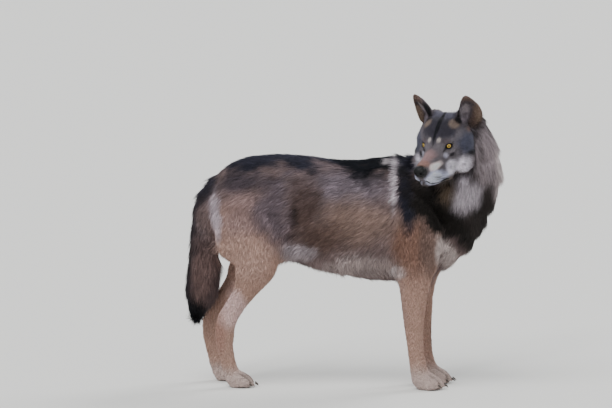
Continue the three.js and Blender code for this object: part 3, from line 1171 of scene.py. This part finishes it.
    def dye(self, plot: Plot, length: Array, lock: Array, rng: np.random.Generator) -> tuple[Array, ...]:
        """Bands the tufts: darker at the root, partly the underfur's duller colour and partly painted shade
        among the tufts, and some with pale or black tips, fewer on the legs; tufts in the creases between the
        toes are darkened as painted shade.

        Args:
            plot: where the tufts stand.
            length: how long they are.
            lock: the tone of each one's lock, from -1 to 1.
            rng: the source of chance.

        Returns:
            The colours at the roots, the middles and the tips.
        """
        count = len(plot.roots)
        plain = plot.shares[:, Part.LEG.value] + plot.shares[:, Part.PAW.value]
        out_along = plot.roots + plot.flow * (0.6 * length)[:, None]
        colours = self.markings.paint(out_along, plot.shares) * self.gain
        streaks = waves(plot.roots * (0.35, 1, 1), 0.013, 9, 24) * plot.shares[:, Part.TRUNK.value]
        tone = 1 + (1 - 0.6 * plain) * (0.16 * lock + 0.15 * streaks + rng.normal(0, 0.09, count))
        # Tufts in the creases between the toes are painted darker: painted shade in the creases.
        colours = np.clip(colours * (tone * (1 - 0.7 * plot.creases))[:, None], 0.003, 1)
        pale = rng.random(count) < 0.20 * (1 - 0.7 * plain)
        dark = (rng.random(count) < 0.22 * (1 - 0.6 * plain)) & ~pale
        tip = colours * np.where(pale, 1.75, np.where(dark, 0.35, 1.1))[:, None]
        hollow = self.in_ear(self.skin.head.inside(plot.roots)) * plot.shares[:, Part.EAR.value]
        hollow = hollow * (rng.random(count) < 0.5)
        tip += hollow[:, None] * (linear(self.ear_tuft) - tip)
        # Roots are painted darker than the middles: partly the underfur's duller colour, partly painted shade
        # among the tufts.
        return colours * (0.66 + 0.2 * plain)[:, None], colours, tip

    def length_share(self, roots: Array, shares: Array) -> Array:
        """Finds how long the hair is at each root, against the usual of its part.

        Args:
            roots: n roots.
            shares: how much each belongs to each part.

        Returns:
            n shares: over 1 on the cheeks, the elbows and the thighs, under 1 on the muzzle, about the eyes,
            at the ears' feet and under the crown.
        """
        local = self.skin.head.inside(roots)
        share = np.ones(len(roots))
        cheek = smooth(-0.01, -0.08, local[:, 0]) * (0.2 + 0.9 * smooth(0.045, -0.02, local[:, 2]))
        share += shares[:, Part.HEAD.value] * (cheek - 0.5 * smooth(0.0, 0.07, local[:, 0]))
        share -= shares[:, Part.NECK.value] * 0.45 * smooth(0.76, 0.82, roots[:, 2])
        share *= 0.3 + 0.7 * smooth(6, 45, self.skin.lid_margin(roots))
        off = (np.abs(local) / MM - (96, 92, 34)) / (26, 26, 34)
        ear_foot = smooth(1.2, 0.5, np.linalg.norm(off, axis=1)) * (local[:, 0] < 0) * (local[:, 2] > 0)
        share *= 1 - 0.6 * ear_foot
        share += shares[:, Part.EAR.value] * self.in_ear(local)
        share += shares[:, Part.LEG.value] * (0.9 * smooth(0.25, 0.45, roots[:, 2]) - 0.15)
        return share

    @staticmethod
    def in_ear(local: Array) -> Array:
        """Finds the ears' hollows, which carry long pale hairs.

        Args:
            local: n places in the head's frame.

        Returns:
            n values: 1 deep in a hollow and 0 outside it.
        """
        off = (local / MM - (-76, 0, 84)) / (16, 1, 34)
        off[:, 1] = (np.abs(local[:, 1]) / MM - 66) / 17
        return smooth(1.15, 0.6, np.linalg.norm(off, axis=1))

    @staticmethod
    def gather(roots: Array, size: float, rng: np.random.Generator) -> tuple[Array, Array]:
        """Gathers tufts into locks about random ones of them.

        Args:
            roots: the tufts' roots.
            size: how far apart the locks are.
            rng: the source of chance.

        Returns:
            A tone from -1 to 1 for each tuft's lock, and the way to the lock's middle.
        """
        share = min(1.0, 6.0 / max(6.0, (size / 0.003) ** 2))
        leaders = rng.choice(len(roots), max(4, int(len(roots) * share)), replace=False)
        tree = KDTree(len(leaders))
        for i, leader in enumerate(leaders):
            tree.insert(roots[leader], i)
        tree.balance()
        nearest = np.array([tree.find(root)[1] for root in roots])
        tones = rng.uniform(-1, 1, len(leaders))
        return tones[nearest], roots[leaders[nearest]] - roots


@dataclass
class Strands:
    """Many tufts as arrays, one row each, drawn as closed three-sided spindles."""

    roots: Array
    flow: Array
    side: Array
    normals: Array
    length: Array
    width: Array
    rise: Array
    bends: Array
    pull: Array
    root_colour: Array
    mid_colour: Array
    tip_colour: Array
    chart: Array
    sunk_share: float = 0.02
    flatness: float = 0.3
    droop: float = 0.35
    flattest: float = 0.05

    def mesh(self, name: str, rings: int) -> bpy.types.Object:
        """Makes the tufts one object.

        Each has a buried point at its root, rings of three points and a point at its tip: 6 or 12 triangles.

        Args:
            name: the object's name.
            rings: how many rings, 1 or 2.

        Returns:
            The object.
        """
        rows = self.rows(rings)
        points = np.stack(rows, axis=1).reshape(-1, 3)
        starts = len(rows) * np.arange(len(self.roots))
        indices = (self.faces(rings)[None] + starts[:, None, None]).reshape(-1)
        mesh = bpy.data.meshes.new(name)
        mesh.vertices.add(len(points))
        mesh.vertices.foreach_set("co", points.astype(np.float32).ravel())
        mesh.loops.add(len(indices))
        mesh.loops.foreach_set("vertex_index", indices.astype(np.int32))
        mesh.polygons.add(len(indices) // 3)
        mesh.polygons.foreach_set("loop_start", np.arange(0, len(indices), 3, dtype=np.int32))
        mesh.polygons.foreach_set("use_smooth", np.ones(len(indices) // 3, bool))
        mesh.update(calc_edges=True)
        self.lay_map(mesh, rings)
        hues = [self.root_colour] + [self.mid_colour * 0.9 + self.root_colour * 0.1] * 3
        hues += [0.5 * self.mid_colour + 0.5 * self.tip_colour] * 3 * (rings - 1) + [self.tip_colour]
        write_hues(mesh, np.clip(np.stack(hues, axis=1).reshape(-1, 3), 0, 1))
        return new_piece(name, mesh)

    def rows(self, rings: int) -> list[Array]:
        """Places each tuft's points along an arc as round as the skin below it.

        Args:
            rings: how many rings, 1 or 2.

        Returns:
            One array of places for each point of a tuft, from its root to its tip.
        """
        stations = {1: ((0, 0), (0.4, 1), (1, 0)), 2: ((0, 0), (0.28, 1), (0.66, 0.8), (1, 0))}[rings]
        rows = []
        sunk = self.roots - self.normals * (self.sunk_share * self.length)[:, None]
        bends = np.where(np.abs(self.bends) < self.flattest, self.flattest, self.bends)
        for along, girth in stations:
            bend = self.rise * (1 - self.droop * along)
            arc = self.length * along * np.cos(bend) * bends
            rise = self.length * along * np.sin(bend) - (1 - np.cos(arc)) / bends
            ahead = np.sin(arc) / bends
            centre = sunk + self.flow * ahead[:, None] + self.normals * rise[:, None] + self.pull * along**1.4
            if girth == 0:
                rows.append(centre)
                continue
            for turn in (90, 210, 330):
                out = self.side * (math.cos(math.radians(turn)) * self.width * girth / 1.73)[:, None]
                lift = math.sin(math.radians(turn)) * self.width * girth * self.flatness
                up = self.normals * lift[:, None]
                rows.append(centre + out + up)
        return rows

    def lay_map(self, mesh: bpy.types.Mesh, rings: int) -> None:
        """Lays the map, where each tuft is a small patch.

        Its length goes across. Its three sides lie in two strips up, and one of them is folded to a line.

        Args:
            mesh: the tufts' mesh.
            rings: how many rings a tuft has.
        """
        corners = []
        for face in self.faces(rings):
            strip = max((point - 1) % 3 for point in face if 0 < point <= 3 * rings)
            for point in face:
                step = 0 if point == 0 else 1 + (point - 1) // 3
                up_strip = 0.5 if step in (0, rings + 1) else float((point - 1) % 3 == 0)
                corners.append((step / (rings + 1) - 0.5, (strip + 0.05 + 0.9 * up_strip) / 3 - 0.5))
        places = self.chart[:, None] + np.array(corners)[None] * TUFT_PATCH
        uv = mesh.uv_layers.new(name="OFBake")
        uv.uv.foreach_set("vector", places.astype(np.float32).ravel())

    @staticmethod
    def faces(rings: int) -> Array:
        """Lists one tuft's triangles, facing out.

        Args:
            rings: how many rings it has.

        Returns:
            Rows of three point numbers.
        """

        def ring(number: int) -> list[tuple[int, int]]:
            """Pairs up neighbouring points of one ring."""
            start = 1 + 3 * number
            return [(start + i, start + (i + 1) % 3) for i in range(3)]

        faces = [(0, b, a) for a, b in ring(0)]
        for number in range(rings - 1):
            for (a, b), (c, d) in zip(ring(number), ring(number + 1)):
                faces += [(a, b, d), (a, d, c)]
        faces += [(a, b, 1 + 3 * rings) for a, b in ring(rings - 1)]
        return np.array(faces)


# ---- finishes ----
def add_node(
    tree: bpy.types.NodeTree, kind: str, inputs: dict[str | int, object] | None = None, **settings: object
) -> bpy.types.Node:
    """Adds a node with its settings and links.

    Args:
        tree: where to add it.
        kind: the node's type.
        inputs: for each input's name or number, a value or the output that feeds it.
        settings: what the node's own options are set to.

    Returns:
        The node.
    """
    node = tree.nodes.new(kind)
    for name, value in settings.items():
        setattr(node, name, value)
    for name, value in (inputs or {}).items():
        if isinstance(value, bpy.types.NodeSocket):
            tree.links.new(value, node.inputs[name])
        else:
            node.inputs[name].default_value = value
    return node


def new_material(
    name: str, **sockets: object
) -> tuple[bpy.types.Material, bpy.types.NodeTree, bpy.types.Node]:
    """Makes a material and sets its shader's sockets.

    Args:
        name: the material's name.
        sockets: their values, with an underscore in a name for a space.

    Returns:
        The material, its node tree and its shader.
    """
    material = bpy.data.materials.new(name)
    material.use_nodes = True
    shader = material.node_tree.nodes["Principled BSDF"]
    for socket, value in sockets.items():
        shader.inputs[socket.replace("_", " ")].default_value = value
    return material, material.node_tree, shader


def ramp(node: bpy.types.Node, *stops: tuple[float, str]) -> None:
    """Sets a colour ramp.

    Args:
        node: the ramp.
        stops: its places, each with an sRGB hex colour.
    """
    elements = node.color_ramp.elements
    while len(elements) > 1:
        elements.remove(elements[-1])
    elements[0].position, elements[0].color = stops[0][0], rgba(stops[0][1])
    for place, colour in stops[1:]:
        elements.new(place).color = rgba(colour)


@dataclass(frozen=True)
class GuardHair:
    """Guard hair: dry keratin with a dull shine, its colour banded from root to tip along each tuft."""

    name: str = "guard_hair"
    roughness: float = 0.62
    ior: float = 1.55
    shine: float = 0.2

    def material(self) -> bpy.types.Material:
        """Makes the material, which reads the colours that the mesh carries.

        Returns:
            The material.
        """
        material, tree, shader = new_material(
            self.name, Roughness=self.roughness, IOR=self.ior, Specular_IOR_Level=self.shine
        )
        colour = add_node(tree, "ShaderNodeAttribute", attribute_name=HUES)
        tree.links.new(colour.outputs["Color"], shader.inputs["Base Color"])
        return material


@dataclass(frozen=True)
class Underfur:
    """Underfur: dense crimped wool in clots of a few dozen hairs, too dull to shine between guard hairs."""

    name: str = "underfur"
    roughness: float = 0.85
    ior: float = 1.55
    shine: float = 0.1
    clot_width: float = 0.0018
    clot_height: float = 0.0012

    def material(self) -> bpy.types.Material:
        """Makes the material, which reads the colours that the mesh carries.

        Returns:
            The material.
        """
        material, tree, shader = new_material(
            self.name, Roughness=self.roughness, IOR=self.ior, Specular_IOR_Level=self.shine
        )
        colour = add_node(tree, "ShaderNodeAttribute", attribute_name=HUES)
        tree.links.new(colour.outputs["Color"], shader.inputs["Base Color"])
        place = add_node(tree, "ShaderNodeTexCoord").outputs["Object"]
        clots = add_node(
            tree, "ShaderNodeTexNoise", {"Vector": place, "Scale": 1 / self.clot_width, "Detail": 3.0}
        ).outputs["Fac"]
        bump = add_node(
            tree, "ShaderNodeBump", {"Height": clots, "Strength": 0.8, "Distance": self.clot_height}
        )
        tree.links.new(bump.outputs["Normal"], shader.inputs["Normal"])
        return material


@dataclass(frozen=True)
class EyeGlass:
    """Cast glass, painted from behind: a wet gloss over an amber iris of fine fibres, paler by the pupil."""

    pupil: float = 0.0021
    iris: float = 0.0070
    ring: float = 0.0079
    span: float = 0.012
    unevenness: float = 0.0012
    fibres_per_metre: float = 900.0

    def material(self, name: str, apex: Array) -> bpy.types.Material:
        """Makes the painted glass, whose rings are measured from the middle of the pupil.

        Args:
            name: the material's name.
            apex: the front of the cornea.

        Returns:
            The material.
        """
        material, tree, shader = new_material(name, Roughness=0.03, IOR=1.38)
        place = add_node(tree, "ShaderNodeTexCoord").outputs["Object"]
        fibres = add_node(
            tree, "ShaderNodeTexNoise", {"Vector": place, "Scale": self.fibres_per_metre, "Detail": 2.0}
        )
        far = add_node(tree, "ShaderNodeVectorMath", {0: place, 1: tuple(apex)}, operation="DISTANCE")
        uneven = add_node(
            tree, "ShaderNodeMath", {0: fibres.outputs["Fac"], 1: self.unevenness, 2: far.outputs["Value"]},
            operation="MULTIPLY_ADD",
        )
        share = add_node(tree, "ShaderNodeMath", {0: uneven.outputs[0], 1: self.span}, operation="DIVIDE")
        hues = add_node(tree, "ShaderNodeValToRGB", {"Fac": share.outputs[0]})
        rings = (
            (self.pupil, "#050403"),
            (self.pupil + 0.0005, "#5c4a1a"),
            (self.pupil + 0.0013, "#cfb255"),
            (self.iris - 0.0026, "#b8953a"),
            (self.iris - 0.0007, "#6e4f1a"),
            (self.ring - 0.0006, "#150c07"),
            (self.ring + 0.0012, "#1d1411"),
        )
        offset = self.unevenness / 2
        ramp(hues, (0.0, "#050403"), *(((far_out + offset) / self.span, hue) for far_out, hue in rings))
        tree.links.new(hues.outputs["Color"], shader.inputs["Base Color"])
        return material


@dataclass(frozen=True)
class NoseLeather:
    """Moist black skin, pebbled in cells a little over a millimetre wide, which break up its shine."""

    name: str = "nose_leather"
    grain: float = 0.0013
    grain_depth: float = 0.0005

    def material(self) -> bpy.types.Material:
        """Makes the material.

        Returns:
            The material.
        """
        material, tree, shader = new_material(
            self.name, Base_Color=rgba("#040405"), Roughness=0.38, Specular_IOR_Level=0.24
        )
        place = add_node(tree, "ShaderNodeTexCoord").outputs["Object"]
        cells = add_node(
            tree, "ShaderNodeTexVoronoi", {"Vector": place, "Scale": 1 / self.grain}
        ).outputs["Distance"]
        bump = add_node(
            tree, "ShaderNodeBump", {"Height": cells, "Strength": 0.6, "Distance": self.grain_depth},
            invert=True,
        )
        tree.links.new(bump.outputs["Normal"], shader.inputs["Normal"])
        return material


@dataclass(frozen=True)
class ClawHorn:
    """Dark horn, worn smooth by the ground, with paler streaks a few millimetres apart."""

    name: str = "claw_horn"
    streak: float = 0.0025

    def material(self) -> bpy.types.Material:
        """Makes the material.

        Returns:
            The material.
        """
        material, tree, shader = new_material(self.name, Roughness=0.4, IOR=1.55)
        place = add_node(tree, "ShaderNodeTexCoord").outputs["Object"]
        streaks = add_node(tree, "ShaderNodeTexNoise", {"Vector": place, "Scale": 1 / self.streak})
        hues = add_node(tree, "ShaderNodeValToRGB", {"Fac": streaks.outputs["Fac"]})
        ramp(hues, (0.3, "#1c1714"), (0.7, "#4a3d34"))
        tree.links.new(hues.outputs["Color"], shader.inputs["Base Color"])
        return material


# ---- eyes, nose, claws, whiskers and lips ----
@dataclass
class Eyeball:
    """An eyeball whose front bulges a little, as a cornea does."""

    seat: EyeSeat
    bulge: float = 0.0009

    def build(self) -> bpy.types.Object:
        """Makes the eyeball in its place.

        Returns:
            The eyeball.
        """
        bpy.ops.object.select_all(action="DESELECT")
        turn = Vector(self.seat.out).to_track_quat("Z", "Y").to_euler()
        bpy.ops.mesh.primitive_uv_sphere_add(
            segments=40, ring_count=28, radius=self.seat.radius, location=self.seat.middle, rotation=turn
        )
        ball = bpy.context.object
        ball.name = f"eyeball_{self.seat.name}"
        bpy.ops.object.transform_apply(location=True, rotation=True, scale=True)
        points = coordinates(ball.data)
        rays = unit(points - self.seat.middle)
        swell = smooth(0.80, 0.97, rays @ self.seat.out) * self.bulge
        set_coordinates(ball.data, points + rays * swell[:, None])
        smooth_shading(ball)
        apex = self.seat.middle + self.seat.out * (self.seat.radius + self.bulge)
        ball.data.materials.append(EyeGlass().material(f"eye_glass_{self.seat.name}", apex))
        return ball


@dataclass
class NosePad:
    """The bare nose: a rounded pad with two nostrils and a groove down its middle."""

    head: HeadFrame
    voxel: float = 0.00085
    tuck: float = 0.22

    def build(self) -> bpy.types.Object:
        """Makes the pad from its solid.

        Returns:
            The pad.
        """
        pad = welded_copy("nose", "nose_pad")
        finish_modifier(pad, "REMESH", mode="VOXEL", voxel_size=self.voxel)
        finish_modifier(pad, "SMOOTH", factor=0.5, iterations=8)
        points = coordinates(pad.data)
        push = self.hollows(self.head.inside(points) / MM)
        local = self.head.inside(points - normals_of(pad.data) * (push * MM)[:, None])
        local[:, 1] *= 1 - self.tuck * smooth(-0.050, -0.063, local[:, 2])
        set_coordinates(pad.data, self.head.outside(local))
        finish_modifier(pad, "SMOOTH", factor=0.5, iterations=1)
        pad.data.materials.append(NoseLeather().material())
        smooth_shading(pad)
        return pad

    @staticmethod
    def hollows(local: Array) -> Array:
        """Works out how deep the nose is pressed in.

        Args:
            local: n places in the head's frame, in millimetres.

        Returns:
            n depths in millimetres: the groove, the nostrils and their slits, less their raised wings.
        """
        x, aside, z = local[:, 0], np.abs(local[:, 1]), local[:, 2]
        front = smooth(120, 127, x)
        groove = np.exp(-((aside / 1.0) ** 2)) * smooth(-43, -50, z) * front * 2.0
        pit = smooth(1.3, 0.5, np.hypot((aside - 9.0) / 3.5, (z + 50) / 3.0)) * front * 4.6
        slit = np.exp(-(((z + 51.0 + 0.3 * (aside - 10)) / 1.3) ** 2)) * smooth(8, 11, aside) * 2.8
        wing = np.exp(-(((aside - 13) / 4) ** 2) - ((z + 45) / 4.5) ** 2) * 1.3
        return groove + np.maximum(pit, slit) - wing


@dataclass
class Claws:
    """Sixteen claws, rounded from their solids."""

    smoothness: int = 2

    def build(self) -> dict[str, bpy.types.Object]:
        """Makes each claw.

        Returns:
            The claws, by the names of their nodes.
        """
        horn = ClawHorn().material()
        claws = {}
        for node in sorted(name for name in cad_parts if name.startswith("claw_")):
            claw = welded_copy(node, f"{node}_horn")
            finish_modifier(claw, "SUBSURF", levels=self.smoothness)
            smooth_shading(claw)
            claw.data.materials.append(horn)
            claws[node] = claw
        return claws


@dataclass
class Whiskers:
    """Stiff black hairs in four rows on each side of the muzzle."""

    skin: Skin
    rows: int = 4
    per_row: int = 4
    width: float = 0.0005
    rise: float = 0.05
    bend: float = 6.0
    black: str = "#0c0b0b"
    seed: int = 7

    def build(self) -> bpy.types.Object:
        """Makes the whiskers one object.

        Returns:
            The whiskers.
        """
        rng = np.random.default_rng(self.seed)
        head, surface = self.skin.head, self.skin.surface()
        roots, normals, flows = [], [], []
        for side in SIDES.values():
            for row in range(self.rows):
                for place in range(self.per_row):
                    spot = np.array((103 - 7.5 * place - 2 * row, 34, -64 - 5.2 * row))
                    spot = head.outside((spot + rng.normal(0, 0.8, 3)) * (1, side, 1) * MM)
                    root, normal, _, _ = surface.find_nearest(Vector(spot))
                    heading = np.array((-0.62, 0.74, -0.28 - 0.06 * row)) + rng.normal(0, 0.09, 3)
                    roots.append(root)
                    normals.append(normal)
                    flows.append(head.axes @ (heading * (1, side, 1)))
        flow = unit(np.array(flows))
        aside = unit(np.cross(flow, np.array(normals)))
        count = len(flow)
        black = np.tile(linear(self.black), (count, 1))
        length = rng.uniform(0.035, 0.062, count)
        strands = Strands(
            np.array(roots), flow, aside, np.cross(aside, flow), length, np.full(count, self.width),
            np.full(count, self.rise), np.full(count, self.bend), np.zeros((count, 3)), black, black, black,
            0.1 + 0.8 * rng.random((count, 2)),
        )
        return strands.mesh("whiskers", 2)


@dataclass
class Lips:
    """The black edge of the closed mouth, round the muzzle from corner to corner."""

    skin: Skin
    thickness: float = 0.0019
    lift: float = 0.0004
    line: tuple[tuple[float, float, float], ...] = (
        (6, 47, -97), (20, 43, -100), (36, 37, -105), (52, 31, -105), (76, 27, -98), (98, 20, -90),
        (112, 10, -84), (117, 0, -82),
    )

    def build(self) -> bpy.types.Object:
        """Lays the lip on the skin.

        Returns:
            The lip.
        """
        half = [np.array(point) * MM for point in self.line]
        whole = half + [point * (1, -1, 1) for point in half[-2::-1]]
        surface = self.skin.surface()
        curve = bpy.data.curves.new("lips", "CURVE")
        curve.dimensions = "3D"
        curve.bevel_depth = self.thickness
        curve.bevel_resolution = 3
        curve.use_fill_caps = True
        spline = curve.splines.new("NURBS")
        spline.points.add(len(whole) - 1)
        spline.use_endpoint_u = True
        spline.order_u = 3
        for spot, point in zip(spline.points, whole):
            place, normal, _, _ = surface.find_nearest(Vector(self.skin.head.outside(point)))
            spot.co = (*(place + normal * self.lift), 1)
        choose(new_piece("lips", curve))
        bpy.ops.object.convert(target="MESH")
        lips = bpy.context.object
        smooth_shading(lips)
        # Wet black skin, smoother than the nose and so shinier.
        lips.data.materials.append(new_material("lip_skin", Base_Color=rgba("#121012"), Roughness=0.35)[0])
        return lips


@dataclass
class Studio:
    """A pale floor, soft lamps and the camera, nine metres away."""

    aim: tuple[float, float, float] = (-0.11375, 0.09277, 0.54093)
    azimuth_deg: float = 5.0
    elevation_deg: float = 5.0
    distance: float = 9.0
    view_width: float = 1.836
    sensor_mm: float = 36.0
    floor_size: float = 300.0

    def build(self) -> None:
        """Adds everything that stands round the model."""
        self.floor()
        self.room()
        self.lamp("key", Vector((-1.5, -3.0, 5.0)), 2.6, 40)
        self.lamp("rim", Vector((3.0, 3.5, 3.5)), 1.6, 30)
        self.lamp("catch", Vector((-0.9, -3.0, 1.9)), 0.5, 8)
        self.camera()

    def floor(self) -> None:
        """Lays the floor, painted matt."""
        bpy.ops.object.select_all(action="DESELECT")
        bpy.ops.mesh.primitive_plane_add(size=self.floor_size)
        floor = bpy.context.object
        floor.name = "floor"
        floor.data.materials.append(new_material("floor_paint", Base_Color=rgba("#d9d8d4"), Roughness=0.8)[0])

    def room(self) -> None:
        """Lights the room evenly."""
        world = bpy.data.worlds.new("room")
        world.use_nodes = True
        background = world.node_tree.nodes["Background"]
        background.inputs["Color"].default_value = rgba("#e2e6ea")
        background.inputs["Strength"].default_value = 0.9
        bpy.context.scene.world = world

    def lamp(self, name: str, place: Vector, strength: float, spread_deg: float) -> None:
        """Hangs a wide far lamp, so that the floor is lit evenly.

        Args:
            name: the lamp's name.
            place: where its light comes from.
            strength: its light, in watts for each square metre.
            spread_deg: how wide it looks from the floor.
        """
        light = bpy.data.lights.new(name, "SUN")
        light.energy = strength
        light.angle = math.radians(spread_deg)
        lamp = bpy.data.objects.new(name, light)
        lamp.location = place
        lamp.rotation_euler = place.to_track_quat("Z", "Y").to_euler()
        bpy.context.scene.collection.objects.link(lamp)

    def camera(self) -> None:
        """Sets the camera."""
        az, el = math.radians(self.azimuth_deg), math.radians(self.elevation_deg)
        back = Vector((math.sin(az) * math.cos(el), -math.cos(az) * math.cos(el), math.sin(el)))
        lens = bpy.data.cameras.new("camera")
        lens.sensor_width = self.sensor_mm
        lens.lens = lens.sensor_width * self.distance / self.view_width
        camera = bpy.data.objects.new("camera", lens)
        camera.location = Vector(self.aim) + back * self.distance
        camera.rotation_euler = back.to_track_quat("Z", "Y").to_euler()
        bpy.context.scene.collection.objects.link(camera)
        bpy.context.scene.camera = camera


def report(piece: bpy.types.Object) -> None:
    """Reports a piece that is done."""
    log.info("%s: %d faces", piece.name, len(piece.data.polygons))


def main() -> None:
    """Builds the model and the studio in order."""
    logging.basicConfig(level=logging.INFO, format="%(relativeCreated)6d ms %(message)s")
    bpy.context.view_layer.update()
    Studio().build()
    head = HeadFrame()

    skin = Skin(head)
    skin.build()
    markings = Markings(head, skin)
    hair = GuardHair().material()
    skin.piece.data.materials.append(Underfur().material())
    short = skin.shares[:, Part.LEG.value] + skin.shares[:, Part.PAW.value]
    # The skin, seen in the gaps of the coat, is painted darker than the coat: partly the underfur's duller
    # colour, partly painted shade among the tufts, less so on the legs and paws. In the creases between the
    # toes it is darker still, as painted shade.
    shade = (0.7 + 0.45 * short) * (1 - 0.7 * skin.creases)
    write_hues(skin.piece.data, markings.paint(skin.points, skin.shares) * shade[:, None])
    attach(skin.piece, BODY)
    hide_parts(*FLESH)
    report(skin.piece)

    for piece in Coat(skin, Lie(skin).directions(), markings).build():
        piece.data.materials.append(hair)
        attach(piece, BODY)
        report(piece)

    for seat in skin.seats:
        ball = Eyeball(seat).build()
        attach(ball, BODY)
        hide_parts(f"eye_{seat.name}")
        report(ball)

    pad = NosePad(head).build()
    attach(pad, BODY)
    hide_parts("nose")
    report(pad)

    for node, claw in Claws().build().items():
        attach(claw, BODY)
        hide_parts(node)
        report(claw)

    lips = Lips(skin).build()
    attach(lips, BODY)
    report(lips)

    whiskers = Whiskers(skin).build()
    whiskers.data.materials.append(hair)
    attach(whiskers, BODY)
    report(whiskers)


if __name__ == "__main__":
    main()
